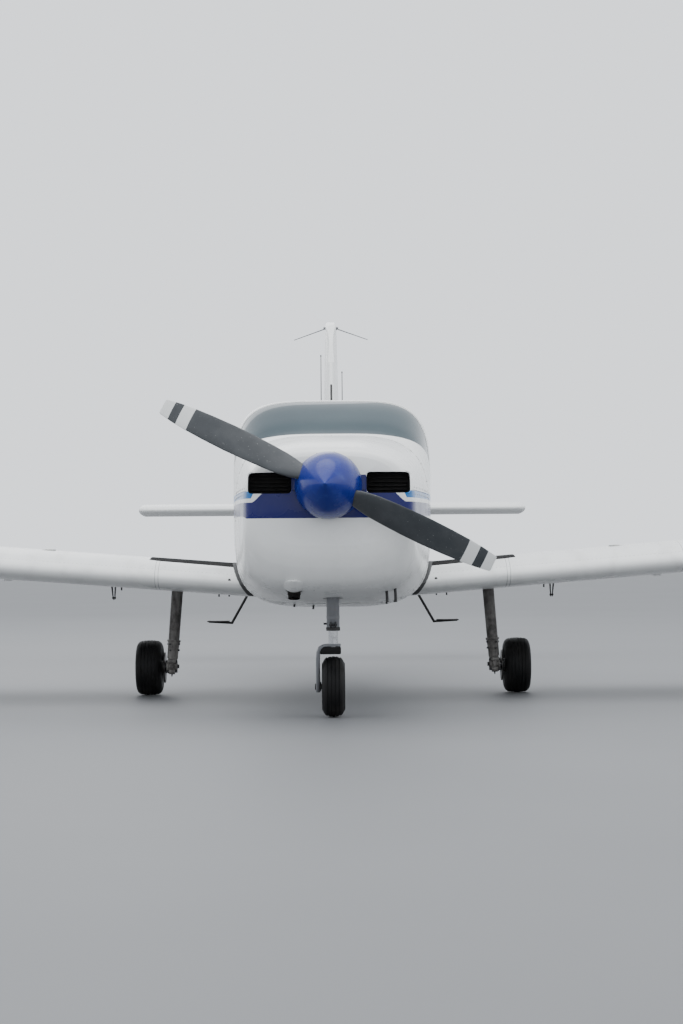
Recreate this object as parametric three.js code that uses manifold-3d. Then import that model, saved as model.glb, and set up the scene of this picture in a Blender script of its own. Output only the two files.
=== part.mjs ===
// Light aircraft: low wing, one engine, four seats, fixed tricycle gear.
// Millimetres, +Z up, nose towards -Y, ground at z = 0, the aircraft's own left is +X.
import * as THREE from 'three';
import { mergeVertices } from 'three/addons/utils/BufferGeometryUtils.js';
import Module from 'manifold-3d';

const wasm = await Module();
wasm.setup();

// Stations are measured aft from the spinner's tip.
const LENGTH = 7700;
const SPAN = 9760;
const GAP = 0.3; // between fixed neighbours
const CLEAR = 7; // around moving pieces

const CABIN_WALL = 35;
const COWL_WALL = 14;
const TAIL_WALL = 8;
const FLOOR_TOP = 700;
const COWL_SPLIT = 1215;
const FIREWALL = [1352, 1376];
const FRONT_END = 2130; // hoop behind the windscreen
const CABIN_END = 4250;

// The engine is canted a little towards the right, and the cowling's front goes with it.
const NOSE = { x: -17, from: 300, to: 1350 };
const PROP = { station: 240, x: -23.5, z: 1240, radius: 940, angle: 154, cant: 3 };
const SPINNER = { base: 330, radius: 175, wall: 5 };

const WING = { station: 2050, x: 600, z: 715, chord: 1220, thick: 0.16, camber: 0.02, dihedral: 4.5 };
const FLAP = { hinge: 900, inner: 655, outer: 3050, up: 0, down: 36 };
const AILERON = { hinge: 950, inner: 3110, outer: 4620, up: 26, down: 26 };
const TAIL = { station: 6920, z: 1263, chord: 780, thick: 0.13, half: 1600, pivot: 195 };
const TAB = { hinge: 652, half: 1510, up: 20, down: 20 };
const FIN = { station: 6720, z: 1450, rake: 10.4, top: 2810, bottom: 1462 };
const NAV_ANTENNA = { station: 6600, z: 2720, base: 11 };

const DOOR = { front: 2136, back: 3020, sill: 1000, inner: 130, roof: 120, gap: 6 };
const HATCH = { front: 3866, back: 4156, low: 985, high: 1385, gap: 6 };

const NOSE_WHEEL = { station: 950, x: 0, radius: 165, width: 126, rim: 70, steer: 905 };
const MAIN_WHEEL = { station: 2910, x: 1165, radius: 174, width: 166, rim: 80 };

// Fuselage sections, with the roundness of the upper and lower half as exponents.
const BODY = [
  // station, bottom, top, half width, upper, lower
  [360, 930, 1392, 370, 3.0, 3.0],
  [375, 870, 1417, 413, 3.0, 3.2],
  [420, 790, 1440, 441, 3.0, 3.4],
  [500, 725, 1458, 458, 3.0, 3.8],
  [700, 675, 1487, 484, 3.1, 4.0],
  [1000, 635, 1520, 515, 3.2, 4.0],
  [1350, 605, 1553, 545, 3.4, 4.0],
  [1560, 590, 1572, 559, 3.6, 4.0],
  [1750, 580, 1665, 569, 3.9, 4.0],
  [1950, 575, 1757, 580, 4.2, 4.0],
  [2060, 572, 1796, 586, 4.4, 4.0],
  [2120, 570, 1809, 590, 4.5, 4.0],
  [2400, 570, 1826, 603, 4.5, 4.0],
  [2800, 570, 1841, 612, 4.5, 4.0],
  [3050, 570, 1838, 610, 4.4, 4.0],
  [3400, 580, 1814, 598, 4.2, 4.0],
  [3800, 610, 1758, 560, 3.9, 3.8],
  [4250, 660, 1682, 490, 3.5, 3.5],
  [4700, 730, 1617, 415, 3.1, 3.1],
  [5300, 840, 1543, 315, 2.7, 2.7],
  [6000, 980, 1470, 205, 2.4, 2.4],
  [6600, 1100, 1418, 125, 2.2, 2.2],
  [6900, 1160, 1386, 82, 2.2, 2.2],
  [7165, 1224, 1306, 42, 2.2, 2.2],
];
const RING = 36;

const aft = (station) => station - LENGTH / 2;
const point = (x, station, z) => new THREE.Vector3(x, aft(station), z);
const radians = THREE.MathUtils.degToRad;

// Solids from closed geometry

function facingOut(geometry) {
  const flat = geometry.index ? geometry.toNonIndexed() : geometry;
  const p = flat.attributes.position;
  const [a, b, c] = [new THREE.Vector3(), new THREE.Vector3(), new THREE.Vector3()];
  let volume = 0;
  for (let i = 0; i < p.count; i += 3) {
    a.fromBufferAttribute(p, i);
    b.fromBufferAttribute(p, i + 1);
    c.fromBufferAttribute(p, i + 2);
    volume += a.dot(b.cross(c));
  }
  return volume > 0;
}

function solid(geometry) {
  const bare = geometry.clone();
  bare.deleteAttribute('normal');
  bare.deleteAttribute('uv');
  const welded = mergeVertices(bare, 1e-3);
  const out = facingOut(welded);
  const source = welded.index.array;
  const faces = [];
  for (let i = 0; i < source.length; i += 3) {
    const [a, b, c] = [source[i], source[i + 1], source[i + 2]];
    if (a === b || b === c || c === a) continue;
    faces.push(...(out ? [a, b, c] : [a, c, b]));
  }
  return new wasm.Manifold(new wasm.Mesh({
    numProp: 3,
    vertProperties: new Float32Array(welded.attributes.position.array),
    triVerts: new Uint32Array(faces),
  }));
}

function geometryOf(body, mirror = false) {
  const mesh = body.getMesh();
  const places = new Float32Array(mesh.vertProperties);
  const faces = new Uint32Array(mesh.triVerts);
  if (mirror) {
    for (let i = 0; i < places.length; i += 3) places[i] *= -1;
    for (let i = 0; i < faces.length; i += 3) [faces[i], faces[i + 1]] = [faces[i + 1], faces[i]];
  }
  const geometry = new THREE.BufferGeometry();
  geometry.setAttribute('position', new THREE.BufferAttribute(places, 3));
  geometry.setIndex(new THREE.BufferAttribute(faces, 1));
  return geometry;
}

function loft(rings) {
  const count = rings[0].length;
  const points = rings.flat();
  const faces = [];
  for (let i = 0; i + 1 < rings.length; i += 1) {
    for (let j = 0; j < count; j += 1) {
      const a = i * count + j;
      const b = i * count + (j + 1) % count;
      faces.push(a, b, a + count, b, b + count, a + count);
    }
  }
  for (const last of [0, rings.length - 1]) {
    const middle = new THREE.Vector3();
    rings[last].forEach((p) => middle.addScaledVector(p, 1 / count));
    const m = points.push(middle) - 1;
    for (let j = 0; j < count; j += 1) {
      const a = last * count + j;
      const b = last * count + (j + 1) % count;
      faces.push(...(last ? [m, a, b] : [m, b, a]));
    }
  }
  const geometry = new THREE.BufferGeometry().setFromPoints(points);
  geometry.setIndex(faces);
  return solid(geometry);
}

function outline(points, radius = 0) {
  const corners = points.map(([x, y]) => new THREE.Vector2(x, y));
  const shape = new THREE.Shape();
  corners.forEach((corner, i) => {
    const before = corners.at(i - 1).clone().sub(corner);
    const after = corners[(i + 1) % corners.length].clone().sub(corner);
    const r = Math.min(radius, before.length() * 0.48, after.length() * 0.48);
    const enter = corner.clone().add(before.setLength(r));
    const leave = corner.clone().add(after.setLength(r));
    if (i === 0) shape.moveTo(enter.x, enter.y);
    else shape.lineTo(enter.x, enter.y);
    if (r > 0) shape.quadraticCurveTo(corner.x, corner.y, leave.x, leave.y);
  });
  shape.closePath();
  return shape;
}

// The polygon with every edge moved out by a distance, or in when it is negative.
function grown(points, distance) {
  const area = points.reduce((sum, [x, y], i) => {
    const [nx, ny] = points[(i + 1) % points.length];
    return sum + x * ny - nx * y;
  }, 0);
  const out = Math.sign(area) * distance;
  const lines = points.map((p, i) => {
    const q = points[(i + 1) % points.length];
    const d = new THREE.Vector2(q[0] - p[0], q[1] - p[1]).normalize();
    return { x: p[0] + d.y * out, y: p[1] - d.x * out, dx: d.x, dy: d.y };
  });
  return lines.map((b, i) => {
    const a = lines.at(i - 1);
    const t = ((b.x - a.x) * b.dy - (b.y - a.y) * b.dx) / (a.dx * b.dy - a.dy * b.dx);
    return [a.x + a.dx * t, a.y + a.dy * t];
  });
}

function prism(points, radius, depth, across, up, origin) {
  const geometry = new THREE.ExtrudeGeometry(outline(points, radius), {
    depth, bevelEnabled: false, curveSegments: 5,
  });
  const along = new THREE.Vector3().crossVectors(across, up);
  geometry.applyMatrix4(new THREE.Matrix4().makeBasis(across, up, along).setPosition(origin));
  return solid(geometry);
}

const [AXIS_X, AXIS_Y, AXIS_Z] = [
  new THREE.Vector3(1, 0, 0), new THREE.Vector3(0, 1, 0), new THREE.Vector3(0, 0, 1)];

// Points are (station, z) in the side view, (x, z) in the front view, (x, station) from above.
const sidePrism = (points, x0, x1, radius = 0) => prism(
  points.map(([s, z]) => [aft(s), z]), radius, x1 - x0, AXIS_Y, AXIS_Z, new THREE.Vector3(x0, 0, 0));
const frontPrism = (points, s0, s1, radius = 0) => prism(
  points, radius, s1 - s0, AXIS_X, AXIS_Z, new THREE.Vector3(0, aft(s1), 0));
const planPrism = (points, z0, z1, radius = 0) => prism(
  points.map(([x, s]) => [x, aft(s)]), radius, z1 - z0, AXIS_X, AXIS_Y, new THREE.Vector3(0, 0, z0));

function block(x0, x1, s0, s1, z0, z1) {
  const geometry = new THREE.BoxGeometry(x1 - x0, s1 - s0, z1 - z0);
  geometry.translate((x0 + x1) / 2, aft((s0 + s1) / 2), (z0 + z1) / 2);
  return solid(geometry);
}

// A round bar between two points, each given as (x, station, z).
function rod(from, to, r0, r1 = r0, sides = 20) {
  const [a, b] = [point(...from), point(...to)];
  const span = b.clone().sub(a);
  const geometry = new THREE.CylinderGeometry(r1, r0, span.length(), sides);
  geometry.applyQuaternion(
    new THREE.Quaternion().setFromUnitVectors(AXIS_Y, span.clone().normalize()));
  geometry.translate(...a.add(b).divideScalar(2).toArray());
  return solid(geometry);
}

// A turned body: the profile is (distance along the axis, radius).
function turned(profile, direction, origin, sides = 28) {
  const geometry = new THREE.LatheGeometry(profile.map(([d, r]) => new THREE.Vector2(r, d)), sides);
  geometry.applyQuaternion(new THREE.Quaternion().setFromUnitVectors(AXIS_Y, direction));
  geometry.translate(...origin.toArray());
  return solid(geometry);
}

const joined = (...bodies) => bodies.reduce((sum, body) => sum.add(body));
const cut = (body, ...tools) => tools.reduce((rest, tool) => rest.subtract(tool), body);

// Fuselage

function bodyAt(station) {
  const last = BODY.length - 1;
  const found = BODY.findIndex((row) => row[0] >= station);
  const i = found < 0 ? last : Math.max(found, 1);
  const rows = [BODY[Math.max(i - 2, 0)], BODY[i - 1], BODY[i], BODY[Math.min(i + 1, last)]];
  const span = rows[2][0] - rows[1][0];
  const t = THREE.MathUtils.clamp((station - rows[1][0]) / span, -0.2, 1.2);
  return [1, 2, 3, 4, 5].map((k) => {
    const [v0, v1, v2, v3] = rows.map((row) => row[k]);
    const m1 = (v2 - v0) / (rows[2][0] - rows[0][0]) * span;
    const m2 = (v3 - v1) / (rows[3][0] - rows[1][0]) * span;
    const [t2, t3] = [t * t, t * t * t];
    return (2 * t3 - 3 * t2 + 1) * v1 + (t3 - 2 * t2 + t) * m1
      + (3 * t2 - 2 * t3) * v2 + (t3 - t2) * m2;
  });
}

function noseShift(station) {
  return NOSE.x * THREE.MathUtils.clamp((NOSE.to - station) / (NOSE.to - NOSE.from), 0, 1);
}

function bodyRing(station, inset) {
  const [bottom, top, half, upper, lower] = bodyAt(station);
  const ring = [];
  for (let i = 0; i < RING; i += 1) {
    const turn = 2 * Math.PI * i / RING;
    const [c, s] = [Math.cos(turn), Math.sin(turn)];
    const power = 2 / (s >= 0 ? upper : lower);
    const x = (half - inset) * Math.sign(c) * Math.abs(c) ** power;
    const z = ((top - bottom) / 2 - inset) * Math.sign(s) * Math.abs(s) ** power;
    ring.push(point(x + noseShift(station), station, (top + bottom) / 2 + z));
  }
  return ring;
}

// The fuselage's filled form between two stations, its surface set in by a distance.
function bodyForm(s0, s1, inset = 0) {
  const inner = BODY.map((row) => row[0]).filter((s) => s > s0 + 5 && s < s1 - 5);
  return loft([s0, ...inner, s1].map((s) => bodyRing(s, inset)));
}

const skin = (s0, s1, outer, inner) => bodyForm(s0, s1, outer).subtract(bodyForm(s0 - 5, s1 + 5, inner));

// Lifting surfaces: u runs aft along the chord, w is across it, v runs along the span.

function foilHalf(fraction, thick) {
  const x = fraction;
  return 5 * thick
    * (0.2969 * Math.sqrt(x) - 0.126 * x - 0.3516 * x ** 2 + 0.2843 * x ** 3 - 0.1015 * x ** 4);
}

function foilMean(fraction, camber) {
  const p = 0.4;
  const scale = camber / (fraction < p ? p : 1 - p) ** 2;
  return scale * ((fraction < p ? 0 : 1 - 2 * p) + 2 * p * fraction - fraction ** 2);
}

function foilPoint(le, te, thick, camber, fraction, side) {
  const chord = te - le;
  return [le + chord * fraction, chord * (foilMean(fraction, camber) + side * foilHalf(fraction, thick))];
}

function foilRing(le, te, thick, camber = 0, steps = 12) {
  const ring = [];
  for (let k = -steps; k <= steps; k += 1) {
    const fraction = (1 - Math.cos(Math.PI * Math.abs(k) / steps)) / 2;
    ring.push(foilPoint(le, te, thick, camber, fraction, k < 0 ? 1 : -1));
  }
  return ring;
}

function noseArc(hinge, middle, radius, from, to, steps = 8) {
  const arc = [];
  for (let k = 0; k <= steps; k += 1) {
    const turn = radians(from + (to - from) * k / steps);
    arc.push([hinge + radius * Math.cos(turn), middle + radius * Math.sin(turn)]);
  }
  return arc;
}

function hingeOf(le, te, thick, camber, hinge) {
  const fraction = (hinge - le) / (te - le);
  const chord = te - le;
  return { fraction, radius: chord * foilHalf(fraction, thick), middle: chord * foilMean(fraction, camber) };
}

// A control surface's section: round nose about the hinge, then the rest of the foil.
function flapRing(le, te, thick, camber, hinge) {
  const { fraction, radius, middle } = hingeOf(le, te, thick, camber, hinge);
  const ring = noseArc(hinge, middle, radius, 90, 270);
  for (const [side, steps] of [[-1, [1, 2, 3, 4]], [1, [4, 3, 2, 1]]]) {
    for (const k of steps) {
      ring.push(foilPoint(le, te, thick, camber, fraction + (1 - fraction) * k / 4, side));
    }
  }
  return ring;
}

// The hollow that a control surface turns in, with lips short enough for its travel.
function coveRing(le, te, thick, camber, hinge, up, down) {
  const { radius, middle } = hingeOf(le, te, thick, camber, hinge);
  const arc = noseArc(hinge, middle, radius + CLEAR, 90 + up, 270 - down);
  const far = radius + 120;
  return [...arc, [arc.at(-1)[0], middle - far], [te + 90, middle - far], [te + 90, middle + far],
    [arc[0][0], middle + far]];
}

const sweep = (sections, place) => loft(
  sections.map(([v, ring]) => ring.map(([u, w]) => place(u, w, v))));

const dihedral = radians(WING.dihedral);
const onWing = (u, w, v) => point(
  WING.x + (v - WING.x) * Math.cos(dihedral) - w * Math.sin(dihedral),
  WING.station + u,
  WING.z + (v - WING.x) * Math.sin(dihedral) + w * Math.cos(dihedral));
const onTail = (u, w, v) => point(v, TAIL.station + u, TAIL.z + w);
const rake = radians(FIN.rake);
const onFin = (u, w, v) => point(
  w,
  FIN.station + u * Math.cos(rake) + v * Math.sin(rake),
  FIN.z - u * Math.sin(rake) + v * Math.cos(rake));

// The assembly

const aircraft = new THREE.Group();
aircraft.name = 'light_aircraft';

const PAINT = {
  white: [0xe8e9e5, 0.32, 0.0], blue: [0x1c3f9c, 0.3, 0.0], grey: [0x9aa0a3, 0.45, 0.2],
  cast: [0x5b5f61, 0.7, 0.4], steel: [0x8f9498, 0.35, 0.9], chrome: [0xd9dcde, 0.12, 1.0],
  leg: [0x6f6a62, 0.6, 0.3], rubber: [0x1b1b1c, 0.9, 0.0], rim: [0xc9cbcc, 0.4, 0.6],
  glass: [0x8fa39b, 0.08, 0.0], panel: [0x202224, 0.8, 0.0], cloth: [0x7d7468, 0.95, 0.0],
  prop: [0x83888b, 0.4, 0.3], dark: [0x17181a, 0.6, 0.0],
};

function add(name, body, paint, mirror = false) {
  const [color, roughness, metalness] = PAINT[paint];
  const material = new THREE.MeshStandardMaterial({ color, roughness, metalness });
  const mesh = new THREE.Mesh(geometryOf(body, mirror), material);
  mesh.name = name;
  aircraft.add(mesh);
}

function addPair(name, body, paint) {
  add(`${name}_left`, body, paint);
  add(`${name}_right`, body, paint, true);
}

// The canted line of the propeller shaft, as a place at each station.
const shaftAt = (station) => [
  PROP.x + (station - PROP.station) * Math.tan(radians(PROP.cant)), station, PROP.z];
const EXHAUST = { x: -205, radius: 32, low: [620, 636], bend: [665, 790] };

// Cowling: two halves with the real air inlets, hollow round the engine.
{
  const shell = bodyForm(360, FIREWALL[0] - GAP).subtract(bodyForm(374, FIREWALL[0] + 60, COWL_WALL));
  const inlets = [1, -1].map((side) => frontPrism(
    [[194, 1200], [422, 1200], [422, 1310], [194, 1310]].map(([x, z]) => [side * x + noseShift(380), z]),
    300, 560, 42));
  const open = cut(shell, ...inlets, rod(shaftAt(300), shaftAt(430), 62, 62, 28));
  const legHole = rod([0, NOSE_WHEEL.steer, 560], [0, NOSE_WHEEL.steer, 760], 58, 58, 24);
  const pipeHole = rod([EXHAUST.x, 602, 574], [EXHAUST.x, ...EXHAUST.bend], 44, 44, 20);
  const coolingOutlet = frontPrism([[-150, 560], [150, 560], [150, 655], [-150, 655]], 1250, 1400, 20);
  add('upper_cowl', open.intersect(block(-700, 700, 300, 1400, COWL_SPLIT + GAP / 2, 1700)), 'white');
  add('lower_cowl', cut(
    open.intersect(block(-700, 700, 300, 1400, 500, COWL_SPLIT - GAP / 2)), legHole, pipeHole,
    coolingOutlet), 'white');
}

// Engine as one plain block with its mount and shaft, and the exhaust outlet.
add('engine_block', joined(
  block(-310, 310, 640, 1180, 930, 1330),
  block(-140, 140, 1150, FIREWALL[0] - GAP, 990, 1200),
  rod(shaftAt(345), shaftAt(660), 40, 40, 24),
), 'cast');
{
  const { x, radius, low, bend } = EXHAUST;
  add('exhaust_pipe', joined(
    rod([x, ...low], [x, ...bend], radius, radius, 20),
    rod([x, bend[0], bend[1] - 12], [x, bend[0], 930 - GAP], radius, radius, 20)), 'steel');
}
add('firewall', bodyForm(...FIREWALL), 'steel');

// Propeller and spinner
{
  const cant = radians(PROP.cant);
  const shaft = new THREE.Vector3(Math.sin(cant), Math.cos(cant), 0);
  const across = new THREE.Vector3(Math.cos(cant), -Math.sin(cant), 0);
  const facing = (angle) => across.clone().multiplyScalar(Math.cos(angle))
    .addScaledVector(AXIS_Z, Math.sin(angle));
  const axisAt = (station) => point(...shaftAt(station));
  const ogive = (inset, tip) => {
    const profile = [[tip, 0]];
    for (let k = 1; k <= 6; k += 1) {
      const t = k / 6;
      const swell = 1 - (1 - t) ** 2;
      profile.push([tip + (SPINNER.base - tip) * t, (SPINNER.radius - inset) * swell]);
    }
    return [...profile, [SPINNER.base + (inset ? 20 : 0), SPINNER.radius - inset],
      [SPINNER.base + (inset ? 20 : 0), 0]];
  };
  const turn = radians(PROP.angle);
  const blades = [0, Math.PI].map((half) => {
    const out = facing(turn + half);
    const ahead = facing(turn + half + Math.PI / 2);
    const table = [
      // radius, chord, thickness, pitch
      [66, 60, 60, 45], [165, 60, 60, 45], [205, 92, 38, 42], [260, 118, 27, 37], [340, 137, 22, 31],
      [440, 149, 18, 26], [560, 150, 15, 22], [680, 141, 12, 19], [790, 126, 10, 16],
      [880, 106, 8, 15], [925, 84, 6, 14], [PROP.radius, 58, 4, 14],
    ];
    return loft(table.map(([radius, chord, thick, pitch]) => {
      const p = radians(pitch);
      const ring = [];
      for (let k = 0; k < 16; k += 1) {
        const t = 2 * Math.PI * k / 16;
        const [c, d] = [Math.cos(t) * chord / 2, Math.sin(t) * thick / 2];
        const place = axisAt(PROP.station).addScaledVector(out, radius)
          .addScaledVector(ahead, c * Math.cos(p) + d * Math.sin(p))
          .addScaledVector(shaft, -c * Math.sin(p) + d * Math.cos(p));
        ring.push(place);
      }
      return ring;
    }));
  });
  const along = (r) => [PROP.x + across.x * Math.cos(turn) * r, PROP.station + across.y * Math.cos(turn) * r,
    PROP.z + Math.sin(turn) * r];
  const slot = rod(along(-240), along(240), 42, 42, 16);
  add('spinner', cut(
    turned(ogive(0, 0), shaft, axisAt(0)), turned(ogive(SPINNER.wall, 8), shaft, axisAt(0)), slot), 'blue');
  const rim = SPINNER.radius - SPINNER.wall - 2;
  add('propeller_hub', cut(
    turned([[175, 0], [175, 62], [316, 62], [316, rim], [SPINNER.base, rim], [SPINNER.base, 0]],
      shaft, axisAt(0)),
    rod(along(-66 - GAP), along(-30), 31, 31, 24), rod(along(30), along(66 + GAP), 31, 31, 24)), 'steel');
  add('propeller_blade_upper', blades[0], 'prop');
  add('propeller_blade_lower', blades[1], 'prop');
}

// Cabin: the wall pieces are cut from one shell.
const WINDSCREEN = [[1982, 1396], [2130, 1960], [1400, 1960], [1400, 1640]];
const SIDE_GLASS = [[2235, 1345], [2925, 1345], [2925, 1705], [2315, 1705]];
const REAR_GLASS = [[3112, 1362], [3770, 1386], [3570, 1660], [3112, 1692]];
const doorHole = [[DOOR.front, DOOR.sill], [DOOR.back, DOOR.sill], [DOOR.back, 2000], [DOOR.front, 2000]];
const hatchHole = [[HATCH.front, HATCH.low], [HATCH.back, HATCH.low], [HATCH.back, HATCH.high],
  [HATCH.front, HATCH.high]];
const roofPlan = [[-DOOR.roof, FRONT_END + GAP], [DOOR.roof, FRONT_END + GAP], [DOOR.roof, 3026],
  [380, 3026], [380, CABIN_END], [-380, CABIN_END], [-380, 3026], [-DOOR.roof, 3026]];
const lining = bodyForm(FIREWALL[1] - 5, CABIN_END + 5, CABIN_WALL + 0.8);
{
  const shell = skin(FIREWALL[1] + GAP, CABIN_END, 0, CABIN_WALL)
    .intersect(block(-800, 800, 1300, 4300, FLOOR_TOP + GAP, 2000));
  add('belly', bodyForm(FIREWALL[1] + GAP, CABIN_END)
    .intersect(block(-800, 800, 1300, 4300, 400, FLOOR_TOP)), 'white');
  add('front_fuselage', cut(
    shell.intersect(block(-800, 800, 1300, FRONT_END, 0, 2000)),
    sidePrism(WINDSCREEN, -800, 800, 50)), 'white');
  add('roof', shell.intersect(planPrism(roofPlan, 1500, 2000)), 'white');
  const side = cut(
    shell.intersect(block(0, 800, FRONT_END + GAP, CABIN_END, 0, 2000)),
    planPrism(grown(roofPlan, GAP), 1500, 2000),
    sidePrism([[FRONT_END - 9, DOOR.sill - DOOR.gap], [DOOR.back + DOOR.gap, DOOR.sill - DOOR.gap],
      [DOOR.back + DOOR.gap, 2100], [FRONT_END - 9, 2100]], 0, 800, 60),
    sidePrism(REAR_GLASS, 200, 800, 70));
  add('side_wall_left', cut(side, sidePrism(grown(hatchHole, HATCH.gap), 200, 800, 36)), 'white');
  add('side_wall_right', side, 'white', true);
  add('rear_bulkhead', lining.intersect(block(-800, 800, 4190, 4205, FLOOR_TOP + GAP, 2000)), 'panel');

  const door = shell.intersect(sidePrism(doorHole, DOOR.inner, 800, 54));
  addPair('door', cut(door, sidePrism(SIDE_GLASS, DOOR.inner, 800, 70)), 'white');
  add('baggage_door', shell.intersect(sidePrism(hatchHole, 200, 800, 30)), 'white');

  add('windscreen', skin(1450, 2112, 3, 11)
    .intersect(sidePrism(grown(WINDSCREEN, -0.5), -800, 800, 50)), 'glass');
  addPair('door_window', skin(2200, 2960, 12, 18)
    .intersect(sidePrism(grown(SIDE_GLASS, -0.5), 200, 800, 70)), 'glass');
  addPair('rear_window', skin(3060, 3820, 12, 18)
    .intersect(sidePrism(grown(REAR_GLASS, -0.5), 200, 800, 70)), 'glass');
}

// Cabin fittings
{
  const low = FLOOR_TOP + GAP;
  add('instrument_panel', joined(
    lining.intersect(block(-800, 800, 1800, 1855, 1100, 1500)),
    lining.intersect(block(-800, 800, 1590, 1875, 1490, 1520)),
    sidePrism([[1800, low], [2140, low], [2120, 900], [1960, 1110], [1800, 1110]], -70, 70)), 'panel');
  const grip = joined(
    rod([245, 1855 + GAP, 1250], [245, 2050, 1250], 13, 13, 16), block(125, 365, 2036, 2064, 1236, 1264),
    block(125, 151, 2036, 2064, 1250, 1350), block(339, 365, 2036, 2064, 1250, 1350));
  addPair('yoke', grip, 'dark');
  const seat = joined(
    sidePrism([[2210, 800], [2740, 800], [2990, 1500], [2900, 1530], [2700, 985], [2210, 985]], 90, 490, 40),
    block(140, 420, 2300, 2700, low, 830));
  addPair('seat_front', seat, 'cloth');
  add('rear_bench', joined(
    sidePrism([[3080, 800], [3520, 800], [3720, 1430], [3640, 1455], [3480, 975], [3080, 975]],
      -480, 480, 40),
    block(-400, 400, 3140, 3480, low, 830)), 'cloth');
}

// Tail cone: hollow, drawn out to the bracket that carries the tailplane.
add('tail_cone', joined(
  cut(bodyForm(CABIN_END + GAP, 7165), bodyForm(CABIN_END - 20, 6880, TAIL_WALL)),
  rod([0, 6640, 1066], [0, 6640, 1150], 22, 22, 20)), 'white');

// Wings, each with its flap and aileron
{
  const { chord, thick, camber } = WING;
  const full = foilRing(0, chord, thick, camber);
  const end = WING.x + (SPAN / 2 - WING.x) / Math.cos(dihedral);
  const solidWing = sweep([
    [390, full], [4640, full], [4760, foilRing(24, chord - 4, thick * 0.93, camber)],
    [4840, foilRing(88, chord - 22, thick * 0.74, camber)],
    [end - 6, foilRing(230, chord - 80, thick * 0.42, camber)],
  ], onWing);
  const pad = rod([2000, 2480, 738], [2000, 2480, 800], 26, 26, 24);
  const surfaces = [['flap', FLAP], ['aileron', AILERON]];
  const coves = surfaces.map(([, form]) => {
    const ring = coveRing(0, chord, thick, camber, form.hinge, form.up, form.down);
    return sweep([[form.inner - CLEAR, ring], [form.outer + CLEAR, ring]], onWing);
  });
  const body = bodyForm(1900, 3420, -GAP);
  addPair('wing', joined(cut(solidWing, body, ...coves), pad), 'white');
  for (const [name, form] of surfaces) {
    const ring = flapRing(0, chord, thick, camber, form.hinge);
    addPair(name, sweep([[form.inner, ring], [form.outer, ring]], onWing), 'white');
  }
}

// Tailplane: all-moving, notched round the tail cone's bracket, with its tab
{
  const { chord, thick, half } = TAIL;
  const full = foilRing(0, chord, thick, 0, 10);
  const tip = foilRing(46, chord - 8, thick * 0.72, 0, 10);
  const cove = coveRing(0, chord, thick, 0, TAB.hinge, TAB.up, TAB.down);
  add('tailplane', cut(
    sweep([[-half, tip], [40 - half, full], [half - 40, full], [half, tip]], onTail),
    sweep([[-TAB.half - CLEAR, cove], [TAB.half + CLEAR, cove]], onTail),
    block(-104, 104, 6800, 7188, 1100, 1500)), 'white');
  const ring = flapRing(0, chord, thick, 0, TAB.hinge);
  add('tailplane_tab', sweep([[-TAB.half, ring], [TAB.half, ring]], onTail), 'white');
}

// Fin and rudder share one raked hinge line.
{
  const foilAt = (v) => {
    const t = (v + 180) / 1500;
    return { le: -1146 + 630 * t, te: 425 - 150 * t, thick: 0.088 + 0.02 * t };
  };
  const sections = (spans, ringOf) => spans.map((v) => {
    const { le, te, thick } = foilAt(v);
    return [v, ringOf(le, te, thick)];
  });
  const coveAt = (le, te, thick) => coveRing(le, te, thick, 0, 0, 34, 34);
  const cove = sweep(sections([-420, 1600], coveAt), onFin);
  const level = sidePrism([[4600, 1200], [7690, 1200], [7690, FIN.top], [7200, FIN.top],
    [6800, FIN.top - 20], [6600, FIN.top - 46], [6460, FIN.top - 86], [6360, FIN.top - 150],
    [6280, FIN.top - 240], [6200, FIN.top - 400], [4600, FIN.top - 400]], -200, 200);
  const fillet = loft([[4900, 1530, 1606, 6], [5350, 1480, 1668, 15], [5900, 1440, 1950, 26]].map(
    ([station, z0, z1, w]) => [[-w, z0], [w, z0], [w * 0.5, z1 - 12], [0, z1], [-w * 0.5, z1 - 12]].map(
      ([x, z]) => point(x, station, z))));
  const fin = cut(
    sweep(sections([-420, 1600], (le, te, thick) => foilRing(le, te, thick, 0, 10)), onFin), cove);
  const { station, z, base } = NAV_ANTENNA;
  add('fin', cut(joined(fin, fillet).intersect(level), bodyForm(4700, 7100, -GAP),
    rod([-120, station, z], [120, station, z], base + GAP, base + GAP, 16)), 'white');
  const rudder = sweep(sections([-180, 1600], (le, te, thick) => flapRing(le, te, thick, 0, 0)), onFin);
  const above = block(-200, 200, 6000, 7690, FIN.bottom, FIN.top);
  add('rudder', rudder.intersect(level).intersect(above), 'white');
}

// Wheels: the tyre's section is (across, radius), the hub is bored for its axle.
function wheel(name, form, paint) {
  const { radius, width, rim } = form;
  const w = width / 2;
  const centre = point(form.x, form.station, radius);
  const half = [[w * 0.62, rim + GAP], [w * 0.9, rim + 16], [w, (radius + rim) / 2 + 6],
    [w * 0.86, radius - 15], [w * 0.55, radius - 3], [0, radius]];
  const tyre = [...half, ...half.slice(0, -1).reverse().map(([d, r]) => [-d, r]), half[0]];
  const disc = form.x ? [[-w * 0.5, 40], [-w * 1.1, 40], [-w * 1.1, 98], [-w * 1.2, 98], [-w * 1.2, 22]]
    : [[-w * 0.5, 40], [-w * 0.7, 40], [-w * 0.7, 22]];
  const hub = [[w * 0.72, 22], [w * 0.72, 40], [w * 0.4, 48], [w * 0.5, rim], [-w * 0.5, rim], [-w * 0.4, 48],
    ...disc, [w * 0.72, 22]];
  const parts = [['tyre', tyre, 'rubber'], ['hub', hub, paint]];
  for (const [part, profile, look] of parts) {
    const body = turned(profile, AXIS_X, centre);
    if (form.x) addPair(`${name}_${part}`, body, look);
    else add(`${name}_${part}`, body, look);
  }
}

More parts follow.
